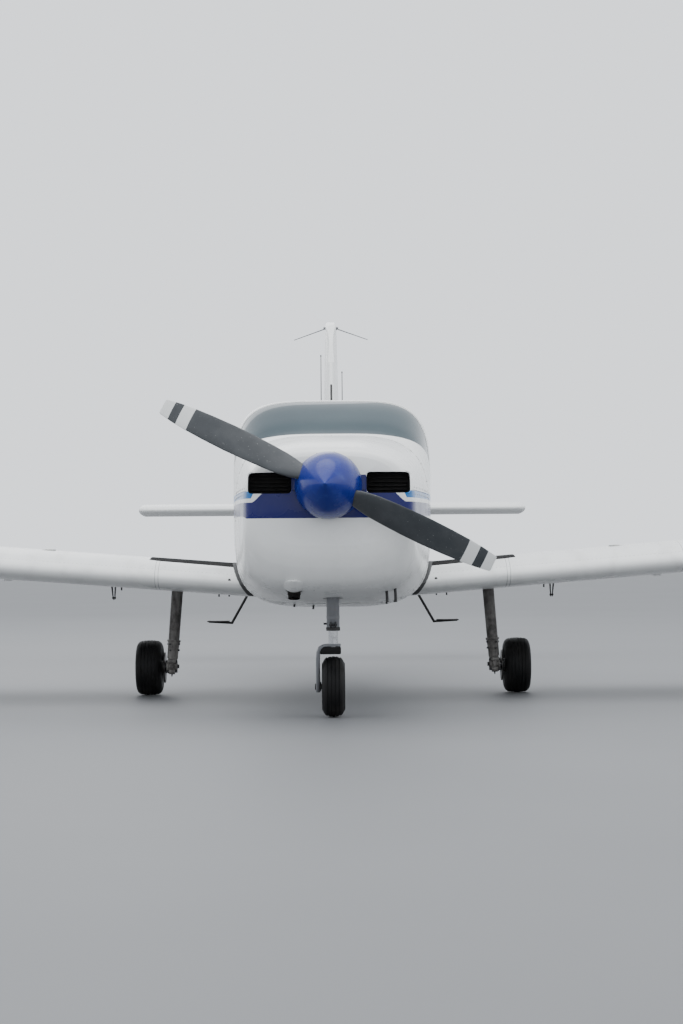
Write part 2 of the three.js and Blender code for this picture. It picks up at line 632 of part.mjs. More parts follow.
// Nose gear: hollow leg, and a sliding tube with a one-sided fork that steers
{
  const s = NOSE_WHEEL.steer;
  add('nose_leg', joined(
    cut(rod([0, s, 474], [0, s, 860], 35, 35, 28), rod([0, s, 400], [0, s, 640], 30.5, 30.5, 28)),
    block(-30, 30, s + 20, FIREWALL[0] - GAP, 780, 850)), 'grey');
  add('nose_fork', joined(
    rod([0, s, 360], [0, s, 600], 25.4, 25.4, 24),
    frontPrism([[42, 342], [42, 388], [30, 398], [-78, 398], [-100, 378], [-100, 310], [-73, 310],
      [-73, 336], [-68, 342]], s - 32, s + 32),
    sidePrism([[s - 32, 320], [s + 32, 320], [990, 180], [978, 132], [922, 126], [904, 175]],
      -100, -73, 24),
    rod([-100, NOSE_WHEEL.station, NOSE_WHEEL.radius], [52, NOSE_WHEEL.station, NOSE_WHEEL.radius],
      15, 15, 20),
  ), 'grey');
  wheel('nose', NOSE_WHEEL, 'rim');
}

// Main gear: leg with the pivot block, trailing arm with the axle, and shock strut
{
  const { station, radius } = MAIN_WHEEL;
  const underWing = sweep([[500, foilRing(0, WING.chord, WING.thick, WING.camber)],
    [2200, foilRing(0, WING.chord, WING.thick, WING.camber)]], (u, w, v) => onWing(u, w - 0.4, v));
  addPair('main_leg', cut(joined(
    rod([970, 2720, 725], [1008, 2720, 240], 36, 34, 24),
    rod([999, 2720, 358], [1007, 2720, 250], 42, 38, 24),
    block(976, 1046, 2676, 2760, 132, 252)), underWing), 'leg');
  addPair('main_arm', cut(joined(
    sidePrism([[2760 + GAP, 148], [2760 + GAP, 228], [2925, 208], [2950, 174], [2925, 140]], 996, 1042, 12),
    rod([1020, station, radius], [1228, station, radius], 15, 15, 20),
    rod([1018, 2866, 194], [1006, 2838, 390], 15, 15, 18),
    rod([1006, 2838, 385], [988, 2797, 680], 25, 25, 20)),
    underWing), 'leg');
  wheel('main', MAIN_WHEEL, 'rim');
}

// Boarding steps behind the wing, and the aerials
addPair('step', cut(joined(
  rod([556, 3400, 650], [668, 3400, 434], 10, 10, 16), rod([668, 3400, 436], [760, 3400, 448], 10, 10, 16),
  block(682, 828, 3352, 3448, 443, 455)), bodyForm(3000, 3800, -GAP)), 'leg');
add('blade_antenna', sidePrism([[2700, 1820], [2860, 1820], [2850, 1955], [2790, 1960]], -7, 7, 10)
  .subtract(bodyForm(2500, 3000, -GAP)), 'dark');
for (const [name, x, top] of [['whip_antenna_left', 75, 2150], ['whip_antenna_right', -70, 2265]]) {
  add(name, joined(
    rod([x, 4000, 1700], [x, 4000, 1775], 14, 9, 16), rod([x, 4000, 1760], [x, 4060, top], 4, 3, 12))
    .subtract(bodyForm(3700, 4300, -GAP)), 'dark');
}
{
  const { station, z, base } = NAV_ANTENNA;
  const rods = [1, -1].map((side) => rod(
    [side * 45, station, z], [side * 300, station + 140, z - 58], 5, 4, 12));
  add('nav_antenna', joined(rod([-60, station, z], [60, station, z], base, base, 16), ...rods), 'grey');
}

export default aircraft;
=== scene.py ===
import math
import bpy
import numpy as np
from mathutils import Matrix, Vector


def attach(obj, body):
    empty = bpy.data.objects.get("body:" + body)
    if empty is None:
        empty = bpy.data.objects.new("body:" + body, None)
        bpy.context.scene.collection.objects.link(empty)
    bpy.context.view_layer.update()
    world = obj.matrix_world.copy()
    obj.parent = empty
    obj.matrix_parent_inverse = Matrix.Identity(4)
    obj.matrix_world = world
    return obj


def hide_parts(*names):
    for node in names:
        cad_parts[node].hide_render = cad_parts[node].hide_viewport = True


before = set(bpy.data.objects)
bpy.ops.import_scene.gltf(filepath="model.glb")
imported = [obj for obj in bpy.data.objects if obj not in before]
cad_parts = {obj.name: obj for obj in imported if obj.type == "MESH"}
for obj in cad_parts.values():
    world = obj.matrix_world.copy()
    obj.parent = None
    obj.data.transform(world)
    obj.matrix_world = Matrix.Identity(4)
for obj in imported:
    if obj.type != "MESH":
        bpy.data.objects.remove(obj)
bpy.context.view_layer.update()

# Cowling. Two moulded glass-fibre halves, painted, screwed together along the side seam and to the
# firewall behind. The loft below carries the whole fuselage, whose sections run on behind the cowling.
sections_of_body = np.array([
    # station, bottom, top, half width, upper and lower roundness
    (0.360, 0.930, 1.392, 0.370, 3.0, 3.0), (0.375, 0.870, 1.417, 0.413, 3.0, 3.2),
    (0.420, 0.790, 1.440, 0.441, 3.0, 3.4), (0.500, 0.725, 1.458, 0.458, 3.0, 3.8),
    (0.700, 0.675, 1.487, 0.484, 3.1, 4.0), (1.000, 0.635, 1.520, 0.515, 3.2, 4.0),
    (1.350, 0.605, 1.553, 0.545, 3.4, 4.0), (1.560, 0.590, 1.572, 0.559, 3.6, 4.0),
    (1.750, 0.580, 1.665, 0.569, 3.9, 4.0), (1.950, 0.575, 1.757, 0.580, 4.2, 4.0),
    (2.060, 0.572, 1.796, 0.586, 4.4, 4.0), (2.120, 0.570, 1.809, 0.590, 4.5, 4.0),
    (2.400, 0.570, 1.826, 0.603, 4.5, 4.0), (2.800, 0.570, 1.841, 0.612, 4.5, 4.0),
    (3.050, 0.570, 1.838, 0.610, 4.4, 4.0), (3.400, 0.580, 1.814, 0.598, 4.2, 4.0),
    (3.800, 0.610, 1.758, 0.560, 3.9, 3.8), (4.250, 0.660, 1.682, 0.490, 3.5, 3.5),
    (4.700, 0.730, 1.617, 0.415, 3.1, 3.1), (5.300, 0.840, 1.543, 0.315, 2.7, 2.7),
    (6.000, 0.980, 1.470, 0.205, 2.4, 2.4), (6.600, 1.100, 1.418, 0.125, 2.2, 2.2),
    (6.900, 1.160, 1.386, 0.082, 2.2, 2.2), (7.165, 1.224, 1.306, 0.042, 2.2, 2.2)])


def aft(station):
    """The place along the frame of a station, counted back from the spinner's tip."""
    return station - 3.85


def nose_shift(station):
    """The engine and its cowling sit a little to one side; the shift fades out at the firewall."""
    return -0.017 * min(max((1.35 - station) / 1.05, 0.0), 1.0)


def body_at(station):
    """Bottom, top, half width and roundness of the body at a station, on a smooth curve."""
    rows = sections_of_body
    i = int(np.clip(np.searchsorted(rows[:, 0], station), 1, len(rows) - 1))
    a, b, c, d = rows[max(i - 2, 0)], rows[i - 1], rows[i], rows[min(i + 1, len(rows) - 1)]
    span = c[0] - b[0]
    t = min(max((station - b[0]) / span, -0.2), 1.2)
    m1, m2 = (c - a) / (c[0] - a[0]) * span, (d - b) / (d[0] - b[0]) * span
    return ((2 * t**3 - 3 * t**2 + 1) * b + (t**3 - 2 * t**2 + t) * m1
            + (3 * t**2 - 2 * t**3) * c + (t**3 - t**2) * m2)[1:]


def body_section(station, inset=0.0, count=96):
    """A ring of places round the body's skin, or under it by an inset."""
    low, high, half, upper, lower = body_at(station)
    turn = 2 * np.pi * np.arange(count) / count
    c, s = np.cos(turn), np.sin(turn)
    power = 2 / np.where(s >= 0, upper, lower)
    x = (half - inset) * np.sign(c) * np.abs(c) ** power
    z = (high + low) / 2 + ((high - low) / 2 - inset) * np.sign(s) * np.abs(s) ** power
    return np.stack([x + nose_shift(station), np.full(count, aft(station)), z], 1)


def body_point(station, turn_deg):
    low, high, half, upper, lower = body_at(station)
    c, s = math.cos(math.radians(turn_deg)), math.sin(math.radians(turn_deg))
    power = 2 / (upper if s >= 0 else lower)
    return Vector((half * math.copysign(abs(c) ** power, c) + nose_shift(station), aft(station),
                   (high + low) / 2 + (high - low) / 2 * math.copysign(abs(s) ** power, s)))


def oval_at(station, z):
    """The body's oval: its middle height, half height and half width, and its roundness at z."""
    low, high, half, upper, lower = body_at(station)
    middle = (high + low) / 2
    return middle, (high - low) / 2, half, upper if z > middle else lower


def side_x(station, z):
    """Half the body's width at a height."""
    middle, rise, half, n = oval_at(station, z)
    return half * max(0.0, 1 - (abs(z - middle) / rise) ** n) ** (1 / n)


def set_vertices(piece, places):
    piece.data.vertices.foreach_set("co", np.asarray(places, dtype=np.float32).ravel())
    piece.data.update()


def get_vertices(piece):
    places = np.empty(len(piece.data.vertices) * 3, dtype=np.float32)
    piece.data.vertices.foreach_get("co", places)
    return places.reshape(-1, 3).astype(float)


def new_piece(name):
    """The object that Blender has just added, under its own name."""
    piece = bpy.context.object
    piece.name = piece.data.name = name
    return piece


def face_out(piece, merge=0.0):
    """Turns all faces outwards, after vertices nearer than merge are made one."""
    bpy.ops.object.select_all(action="DESELECT")
    piece.select_set(True)
    bpy.context.view_layer.objects.active = piece
    bpy.ops.object.mode_set(mode="EDIT")
    bpy.ops.mesh.select_all(action="SELECT")
    if merge:
        bpy.ops.mesh.remove_doubles(threshold=merge)
    bpy.ops.mesh.normals_make_consistent(inside=False)
    bpy.ops.object.mode_set(mode="OBJECT")
    return piece


def lofted(name, rings):
    """A sphere whose rings of vertices are drawn out to the given sections."""
    rings = np.asarray(rings)
    count, sides = rings.shape[:2]
    bpy.ops.mesh.primitive_uv_sphere_add(segments=sides, ring_count=count + 1, radius=1)
    piece = new_piece(name)
    old = get_vertices(piece)
    ring = np.rint(np.arccos(np.clip(old[:, 2], -1, 1)) / np.pi * (count + 1)).astype(int)
    step = np.rint(np.arctan2(old[:, 1], old[:, 0]) / (2 * np.pi) * sides).astype(int) % sides
    new = rings[np.clip(ring - 1, 0, count - 1), step]
    new[ring == 0] = rings[0].mean(0)
    new[ring == count + 1] = rings[-1].mean(0)
    set_vertices(piece, new)
    return face_out(piece)


def body_form(name, start, end, inset=0.0, count=96):
    """The body as a solid between two stations, or smaller all round by an inset."""
    inner = [s for s in np.arange(0.3, 7.2, 0.05) if start + 0.02 < s < end - 0.02]
    close = [s for s in (0.362, 0.366, 0.372, 0.38, 0.39, 0.405, 0.43, 0.47) if start + 0.001 < s < end]
    stations = sorted({start, end, *close, *[float(round(s, 4)) for s in inner]})
    return lofted(name, [body_section(s, inset, count) for s in stations])


def body_room(start, end):
    """The whole body, a hair larger than its skin, to cut other parts off where they meet it."""
    return body_form("body room", start, end, -0.0003)


def rounded(corners, radius, steps=8):
    """The outline with its corners rounded off."""
    corners = [Vector(c) for c in corners]
    path = []
    for i, corner in enumerate(corners):
        before, after = corners[i - 1] - corner, corners[(i + 1) % len(corners)] - corner
        r = min(radius, before.length * 0.48, after.length * 0.48)
        a, b = corner + before.normalized() * r, corner + after.normalized() * r
        for k in range(steps + 1):
            t = k / steps
            path.append((1 - t) ** 2 * a + 2 * t * (1 - t) * corner + t * t * b)
    return path


def slab(name, outline, push):
    """A plate: a filled circle drawn to the outline, then extruded."""
    bpy.ops.mesh.primitive_circle_add(vertices=len(outline), radius=1, fill_type="NGON")
    piece = new_piece(name)
    set_vertices(piece, [tuple(p) for p in outline])
    bpy.ops.object.mode_set(mode="EDIT")
    bpy.ops.mesh.select_all(action="SELECT")
    bpy.ops.mesh.extrude_region_move(TRANSFORM_OT_translate={"value": push})
    bpy.ops.object.mode_set(mode="OBJECT")
    return face_out(piece)


def side_slab(name, corners, x0, x1, radius=0.0):
    """A plate cut to an outline of (station, height) corners, from one x to another."""
    path = rounded(corners, radius) if radius else [Vector(c) for c in corners]
    return slab(name, [(x0, aft(p.x), p.y) for p in path], (x1 - x0, 0, 0))


def front_slab(name, corners, s0, s1, radius=0.0):
    """A plate cut to an outline of (x, height) corners, from one station to another."""
    path = rounded(corners, radius) if radius else [Vector(c) for c in corners]
    return slab(name, [(p.x, aft(s0), p.y) for p in path], (0, s1 - s0, 0))


def brick(name, x0, x1, s0, s1, z0, z1, bevel=0.0, segments=2):
    """A block between two places on each axis, with soft edges where bevel is given."""
    bpy.ops.mesh.primitive_cube_add(size=1)
    piece = new_piece(name)
    size = np.array([x1 - x0, s1 - s0, z1 - z0])
    middle = np.array([(x0 + x1) / 2, aft((s0 + s1) / 2), (z0 + z1) / 2])
    set_vertices(piece, get_vertices(piece) * size + middle)
    if bevel:
        soften(piece, bevel, segments)
    return piece


def modified(piece, kind, **settings):
    """Adds a modifier with its settings and applies it."""
    step = piece.modifiers.new("step", kind)
    for key, value in settings.items():
        setattr(step, key, value)
    bpy.context.view_layer.objects.active = piece
    bpy.ops.object.modifier_apply(modifier=step.name)
    return piece


def soften(piece, width, segments=2, angle=30):
    """Rounds the piece's sharp edges."""
    return modified(piece, "BEVEL", width=width, segments=segments, limit_method="ANGLE",
                    angle_limit=math.radians(angle))


def twin(piece, name):
    other = piece.copy()
    other.data = piece.data.copy()
    other.name = other.data.name = name
    bpy.context.scene.collection.objects.link(other)
    return other


def carve(piece, *tools, how="DIFFERENCE"):
    """Cuts, joins or keeps what the tools cover, and removes the tools."""
    for tool in tools:
        modified(piece, "BOOLEAN", operation=how, object=tool, solver="MANIFOLD")
        bpy.data.objects.remove(tool)
    return piece


def smooth(piece, angle=35):
    bpy.ops.object.select_all(action="DESELECT")
    piece.select_set(True)
    bpy.context.view_layer.objects.active = piece
    bpy.ops.object.shade_smooth_by_angle(angle=math.radians(angle))
    return piece


def fit(piece, material, body, slot, *nodes, angle=35):
    """Gives a finished piece its shading, material and body, and hides the solids it stands for. The slot is
    not used.
    """
    smooth(piece, angle)
    piece.data.materials.clear()
    piece.data.materials.append(material)
    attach(piece, body)
    if nodes:
        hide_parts(*nodes)
    return piece


def joined(name, *parts):
    bpy.ops.object.select_all(action="DESELECT")
    for part in parts:
        part.select_set(True)
    bpy.context.view_layer.objects.active = parts[0]
    if len(parts) > 1:
        bpy.ops.object.join()
    piece = bpy.context.view_layer.objects.active
    piece.name = piece.data.name = name
    return piece


def rod(name, a, b, r0, r1=None, sides=24, bevel=0.0):
    """A round bar from a to b, given as places in the frame."""
    a, b = Vector(a), Vector(b)
    r1 = r0 if r1 is None else r1
    bpy.ops.mesh.primitive_cone_add(vertices=sides, radius1=r0, radius2=r1, depth=(b - a).length)
    piece = new_piece(name)
    turn = Vector((0, 0, 1)).rotation_difference(b - a).to_matrix().to_4x4()
    piece.data.transform(Matrix.Translation((a + b) / 2) @ turn)
    piece.matrix_world = Matrix.Identity(4)
    if bevel:
        soften(piece, bevel, 2, 40)
    return piece


def around(count):
    """The angles of a ring with so many vertices."""
    return np.linspace(0, 2 * np.pi, count, endpoint=False)


def tube(name, path, radius, sides=12, round_steps=6):
    """A bent bar or pipe along smoothed points."""
    points = [Vector(p) for p in path]
    fine = []
    for i in range(len(points) - 1):
        a, b, c, d = points[max(i - 1, 0)], points[i], points[i + 1], points[min(i + 2, len(points) - 1)]
        for k in range(round_steps):
            t = k / round_steps
            fine.append(0.5 * (2 * b + (c - a) * t + (2 * a - 5 * b + 4 * c - d) * t * t
                               + (3 * b - a - 3 * c + d) * t**3))
    fine.append(points[-1])
    rings, side = [], None
    for i, p in enumerate(fine):
        along = (fine[min(i + 1, len(fine) - 1)] - fine[max(i - 1, 0)]).normalized()
        if side is None:
            side = along.orthogonal().normalized()
        side = (side - along * side.dot(along)).normalized()
        up = along.cross(side)
        rings.append([tuple(p + (side * math.cos(q) + up * math.sin(q)) * radius) for q in around(sides)])
    return lofted(name, rings)


# Paint. Gloss white over filler, a little dulled and dusty, with a royal blue nose band that runs
# aft as a stripe under a narrow light blue one, masked off by height and by distance from the hub.
class Channel:
    """A number worked out by a material's nodes, so that a pattern is written as plain sums."""

    def __init__(self, socket):
        self.socket = socket

    def __add__(self, other):
        return maths("ADD", self, other)

    def __sub__(self, other):
        return maths("SUBTRACT", self, other)

    def __rsub__(self, other):
        return maths("SUBTRACT", other, self)

    def __mul__(self, other):
        return maths("MULTIPLY", self, other)

    def __truediv__(self, other):
        return maths("DIVIDE", self, other)

    def __pow__(self, other):
        return maths("POWER", self, other)

    def __gt__(self, other):
        return maths("GREATER_THAN", self, other)

    def __lt__(self, other):
        return maths("LESS_THAN", self, other)

    def __abs__(self):
        return maths("ABSOLUTE", self)


def feed(socket, value):
    """Joins a channel to a socket, or sets the socket to a plain number or colour."""
    if isinstance(value, Channel):
        socket.id_data.links.new(value.socket, socket)
    elif isinstance(value, tuple):
        socket.default_value = (*value, 1.0) if len(socket.default_value) == 4 and len(value) == 3 else value
    else:
        socket.default_value = value


def made_by(kind, near, inputs, output=0, **settings):
    """A new node in the tree of a nearby socket: its settings, its inputs, and the channel it gives."""
    made = near.id_data.nodes.new(kind)
    for key, value in settings.items():
        setattr(made, key, value)
    for key, value in inputs.items():
        feed(made.inputs[key], value)
    return Channel(made.outputs[output])


def maths(operation, *terms):
    near = next(term.socket for term in terms if isinstance(term, Channel))
    return made_by("ShaderNodeMath", near, dict(enumerate(terms)), operation=operation)


def mixed(amount, a, b):
    return made_by("ShaderNodeMix", amount.socket, {"Factor": amount, "A": a, "B": b}, "Result",
                   data_type="RGBA")


def ramp(value, low, high, out_low=0.0, out_high=1.0):
    limits = {"Value": value, "From Min": low, "From Max": high, "To Min": out_low, "To Max": out_high}
    return made_by("ShaderNodeMapRange", value.socket, limits, interpolation_type="SMOOTHSTEP")


def place(shader):
    return made_by("ShaderNodeTexCoord", shader, {}, "Object")


def split(source):
    made = source.socket.id_data.nodes.new("ShaderNodeSeparateXYZ")
    feed(made.inputs[0], source)
    return [Channel(output) for output in made.outputs]


def noise(source, scale, detail=4.0, rough=0.55, stretch=None):
    if stretch:
        source = made_by("ShaderNodeMapping", source.socket, {"Vector": source, "Scale": stretch})
    grain = {"Vector": source, "Scale": scale, "Detail": detail, "Roughness": rough}
    return made_by("ShaderNodeTexNoise", source.socket, grain, "Fac")


def raised(shader, height, strength, distance):
    bump = {"Strength": strength, "Distance": distance, "Height": height}
    feed(shader.inputs["Normal"], made_by("ShaderNodeBump", shader, bump))


def new_material(name, rough=0.4, metal=0.0, coat=0.0, coat_rough=0.1, specular=0.5):
    material = bpy.data.materials.new(name)
    material.use_nodes = True
    shader = material.node_tree.nodes["Principled BSDF"]
    for key, value in (("Roughness", rough), ("Metallic", metal), ("Coat Weight", coat),
                       ("Coat Roughness", coat_rough), ("Specular IOR Level", specular)):
        shader.inputs[key].default_value = value
    return material, shader


def finished(shader, colour, rough=None):
    """Gives a material its pattern of colour and, where it has one, its pattern of roughness."""
    feed(shader.inputs["Base Color"], colour)
    if rough:
        feed(shader.inputs["Roughness"], rough)


def speckled(name, rough, scale, dark, light, detail=4.0, metal=0.0, specular=0.5, bump=None):
    """A finish that drifts between two tones, with a fine grain of (scale, detail, strength, depth)."""
    material, shader = new_material(name, rough, metal, specular=specular)
    at = place(shader)
    finished(shader, mixed(noise(at, scale, detail), dark, light))
    if bump:
        raised(shader, noise(at, *bump[:2]), *bump[2:])
    return material


WHITE, ROYAL, LIGHT_BLUE = (0.80, 0.81, 0.80), (0.001, 0.004, 0.105), (0.018, 0.150, 0.42)


def paint(name, banded, dirt=0.25):
    material, shader = new_material(name, 0.3, coat=0.15, coat_rough=0.08, specular=0.3)
    at = place(shader)
    x, y, z = split(at)
    colour = WHITE
    if banded:
        off = ramp(y, -3.55, -2.5, 0.017, 0.0)
        wide = abs(x + off)
        back = maths("MAXIMUM", y + 3.42, 0.0)
        level = z - back * 0.012
        top_edge = ramp(wide, 0.33, 0.405, 1.206, 1.155)
        low_edge = ramp(wide, 0.425, 0.455, 1.072, 1.084)
        royal = (level > low_edge) * (level < top_edge)
        from_hub = maths("SQRT", (x + 0.017) ** 2.0 + (z - 1.24) ** 2.0)
        ring = (from_hub < 0.2) * (y < -3.38) * (abs(z - 1.184) < 0.112)
        royal = maths("MAXIMUM", royal, ring)
        start = wide + (1.2 - level) * -0.5
        light = (level > 1.176) * (level < 1.2125) * (start > 0.392)
        colour = mixed(royal, mixed(light, WHITE, LIGHT_BLUE), ROYAL)
    cloud = noise(at, 2.3, 6)
    streak = noise(at, 9.0, 5, stretch=(1.0, 0.25, 1.0))
    low = ramp(z, 1.15, 0.55)
    grime = ramp(streak, 0.4, 0.85) * (low * (dirt * 0.5) + dirt * 0.15)
    finished(shader, mixed(grime, colour, (0.2, 0.19, 0.17)), ramp(cloud, 0.3, 0.75, 0.2, 0.34) + grime * 0.4)
    raised(shader, noise(at, 380.0, 2), 0.05, 0.0006)
    return material


body_paint = paint("body paint", True)
plain_paint = paint("wing paint", False, 0.3)

inlet_corners = [(0.194, 1.200), (0.422, 1.200), (0.422, 1.310), (0.194, 1.310)]
lip_corners = [(0.1895, 1.1955), (0.4265, 1.1955), (0.4265, 1.3145), (0.1895, 1.3145)]
inlet_shift, pipe_x = -0.0157, -0.205
cowl = carve(body_form("cowling", 0.36, 1.3505, count=128), body_form("cowling inside", 0.374, 1.42, 0.014))
for side in (1, -1):
    corners = [(side * x + inlet_shift, z) for x, z in inlet_corners]
    carve(cowl, front_slab("inlet cut", corners, 0.30, 0.56, 0.022))
carve(cowl, rod("shaft cut", (-0.0204, aft(0.3), 1.24), (-0.0135, aft(0.43), 1.24), 0.062, sides=40))
lower_cowl = twin(cowl, "lower_cowl_skin")
seam, half_gap = 1.215, 0.0012
carve(cowl, brick("upper keep", -0.8, 0.8, 0.3, 1.4, seam + half_gap, 1.7), how="INTERSECT")
carve(lower_cowl, brick("lower keep", -0.8, 0.8, 0.3, 1.4, 0.5, seam - half_gap), how="INTERSECT")
outlet_corners = [(-0.15, 0.56), (0.15, 0.56), (0.15, 0.655), (-0.15, 0.655)]
carve(lower_cowl, rod("leg cut", (0, aft(0.905), 0.5), (0, aft(0.905), 0.8), 0.056, sides=40),
      rod("pipe cut", (pipe_x, aft(0.602), 0.574), (pipe_x, aft(0.665), 0.790), 0.044, sides=32),
      front_slab("cooling outlet cut", outlet_corners, 1.25, 1.42, 0.02))
fit(cowl, body_paint, "airframe", "cowl_paint", "upper_cowl").name = "upper_cowl_skin"
fit(lower_cowl, body_paint, "airframe", "cowl_paint", "lower_cowl")


def front_station(x, z):
    """The station where the cowling's skin passes x and z, found by halving."""
    low, high = 0.36, 1.2
    for _ in range(30):
        mid = (low + high) / 2
        middle, rise, half, n = oval_at(mid, z)
        inside = (abs(x - nose_shift(mid)) / half) ** n + (abs(z - middle) / rise) ** n <= 1
        low, high = (low, mid) if inside else (mid, high)
    return high


def closed_tube(name, path, radius, sides=8):
    """A bead along a closed path: a ring of vertices drawn round every point."""
    points = [Vector(p) for p in path]
    bpy.ops.mesh.primitive_torus_add(major_segments=len(points), minor_segments=sides, major_radius=1,
                                     minor_radius=0.25)
    piece = new_piece(name)
    old = get_vertices(piece)
    big = np.rint(np.arctan2(old[:, 1], old[:, 0]) / (2 * np.pi) * len(points)).astype(int) % len(points)
    small = np.arctan2(old[:, 2], np.hypot(old[:, 0], old[:, 1]) - 1)
    middle = sum(points, Vector()) / len(points)
    new = np.empty_like(old)
    for i, (b, angle) in enumerate(zip(big, small)):
        p = points[b]
        along = (points[(b + 1) % len(points)] - points[b - 1]).normalized()
        out = p - middle
        out = (out - along * out.dot(along)).normalized()
        up = along.cross(out)
        new[i] = p + (out * math.cos(angle) + up * math.sin(angle)) * radius
    set_vertices(piece, new)
    return face_out(piece)


lips = []
for side in (1, -1):
    corners = [(side * p.x + inlet_shift, p.y) for p in rounded(lip_corners, 0.03, 8)]
    path = [(x, aft(front_station(x, z)) + 0.0045, z) for x, z in corners]
    lips.append(closed_tube("inlet lip", path, 0.005, 10))
fit(joined("inlet_lips", *lips), body_paint, "airframe", "cowl_paint")

# Cylinders. Sooty sheet baffles stand behind each inlet, with the cooling fins of the cast barrels
# in front of them; the engine behind is one block of cast metal.
dark_metal = speckled("sooty metal", 0.7, 14.0, (0.012, 0.012, 0.013), (0.05, 0.048, 0.045), metal=0.3)
fins = []
for side in (1, -1):
    middle = side * 0.31
    fins.append(brick("baffle", middle - 0.141, middle + 0.109, 0.54, 0.55, 1.12, 1.36, 0.002))
    for k in range(9):
        z = 1.16 + 0.02 * k
        fins.append(brick("fin", middle - 0.116, middle + 0.084, 0.50, 0.538, z, z + 0.006, 0.0015, 1))
baffles = joined("cylinder_fins", *fins)
carve(baffles, body_form("cowling room", 0.40, 1.30, 0.018), how="INTERSECT")
fit(baffles, dark_metal, "airframe", "engine")
engine_metal = speckled("cast engine metal", 0.6, 30.0, (0.10, 0.10, 0.105), (0.24, 0.24, 0.235), metal=0.7,
                        bump=(160.0, 3, 0.3, 0.001))
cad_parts["engine_block"].material_slots[0].material = engine_metal

# Cowl fasteners. Bare steel quarter-turn studs hold the two halves together, in a row above and
# below the seam, and hold them to the firewall, in two rows round its edge.
stud_metal = speckled("fastener metal", 0.35, 90.0, (0.34, 0.34, 0.34), (0.55, 0.55, 0.54), metal=1.0)


def copies_of(first, places):
    """Copies of one small piece, made at the origin with its head up, set at places and normals."""
    made = []
    for spot, normal in places:
        other = twin(first, first.name)
        turn = Vector((0, 0, 1)).rotation_difference(Vector(normal)).to_matrix().to_4x4()
        other.data.transform(Matrix.Translation(Vector(spot)) @ turn)
        made.append(other)
    bpy.data.objects.remove(first)
    return made


def skin_normal(station, turn_deg):
    """The way the body's skin faces at a station and an angle round it."""
    a, b = body_point(station, turn_deg - 1), body_point(station, turn_deg + 1)
    c, d = body_point(station - 0.01, turn_deg), body_point(station + 0.01, turn_deg)
    normal = (b - a).cross(d - c).normalized()
    here = body_point(station, turn_deg)
    middle = Vector((0, here.y, 1.2))
    return normal if normal.dot(here - middle) > 0 else -normal


def turn_for(station, z):
    """The angle round the body, in degrees, at which its skin has the height z."""
    middle, rise, half, n = oval_at(station, z)
    return math.degrees(math.copysign(math.asin(min(1.0, (abs(z - middle) / rise) ** (n / 2))), z - middle))


places = []
for station in np.arange(0.46, 1.34, 0.11):
    for side in (1, -1):
        for z in (1.232, 1.198):
            turn = turn_for(station, z)
            turn = turn if side > 0 else 180 - turn
            places.append((body_point(station, turn), skin_normal(station, turn)))
for turn in range(-165, 181, 15):
    places.append((body_point(1.325, turn), skin_normal(1.325, turn)))
    places.append((body_point(1.405, turn), skin_normal(1.405, turn)))
first = rod("cowl stud", (0, 0, -0.002), (0, 0, 0.0018), 0.0065, 0.005, 10)
fit(joined("cowl_studs", *copies_of(first, places)), stud_metal, "airframe", "steel")

# Exhaust. A blackened steel pipe with a welded collar drops out of the lower cowl, behind a small
# moulded blister that is painted with the cowl.
def spun(name, profile, centre, axis, steps=96):
    """A closed profile of (along, radius) pairs, spun round its axis into a ring."""
    along = Vector(axis).normalized()
    up = Vector((0, 0, 1)) if abs(along.z) < 0.9 else Vector((1, 0, 0))
    bpy.ops.mesh.primitive_circle_add(vertices=len(profile), radius=1, fill_type="NOTHING")
    piece = new_piece(name)
    set_vertices(piece, [tuple(Vector(centre) + along * a + up * r) for a, r in profile])
    bpy.ops.object.mode_set(mode="EDIT")
    bpy.ops.mesh.select_all(action="SELECT")
    bpy.ops.mesh.spin(steps=steps, angle=2 * math.pi, center=tuple(centre), axis=tuple(along))
    bpy.ops.object.mode_set(mode="OBJECT")
    return face_out(piece, 0.00002)


rings = []
for s, wide, high, z in ((0.440, 0.010, 0.004, 0.748), (0.455, 0.030, 0.010, 0.744),
                         (0.475, 0.044, 0.016, 0.739), (0.505, 0.053, 0.022, 0.731),
                         (0.545, 0.058, 0.027, 0.722), (0.60, 0.060, 0.029, 0.713)):
    rings.append([(-0.204 + wide * math.cos(q), aft(s), z + high * math.sin(q) * abs(math.sin(q)) ** 0.8)
                  for q in around(40)])
fairing = lofted("exhaust_fairing", rings)
fit(fairing, body_paint, "airframe", "cowl_paint")
burnt, shader = new_material("burnt steel", 0.65, metal=0.8)
z = split(place(shader))[2]
soot = ramp(z, 0.78, 0.66) * ramp(noise(place(shader), 25.0), 0.2, 0.5)
finished(shader, mixed(soot, (0.16, 0.13, 0.11), (0.006, 0.006, 0.006)))
pipe = rod("exhaust_stub", (pipe_x, aft(0.6245), 0.6514), (pipe_x, aft(0.665), 0.790), 0.032, sides=48)
carve(pipe, rod("pipe top", (pipe_x, aft(0.665), 0.778), (pipe_x, aft(0.665), 0.9297), 0.032, sides=48),
      how="UNION")
carve(pipe, rod("pipe bore", (pipe_x, aft(0.608), 0.594), (pipe_x, aft(0.651), 0.742), 0.0285, sides=48))
fit(pipe, burnt, "airframe", "steel", "exhaust_pipe")
clip = spun("clip", [(0, 0.0318), (0, 0.0352), (0.014, 0.0352), (0.014, 0.0318)],
            (pipe_x, aft(0.6305), 0.672), (0, 0.045, 0.154), 48)
fit(joined("exhaust_clip", clip), burnt, "airframe", "steel")

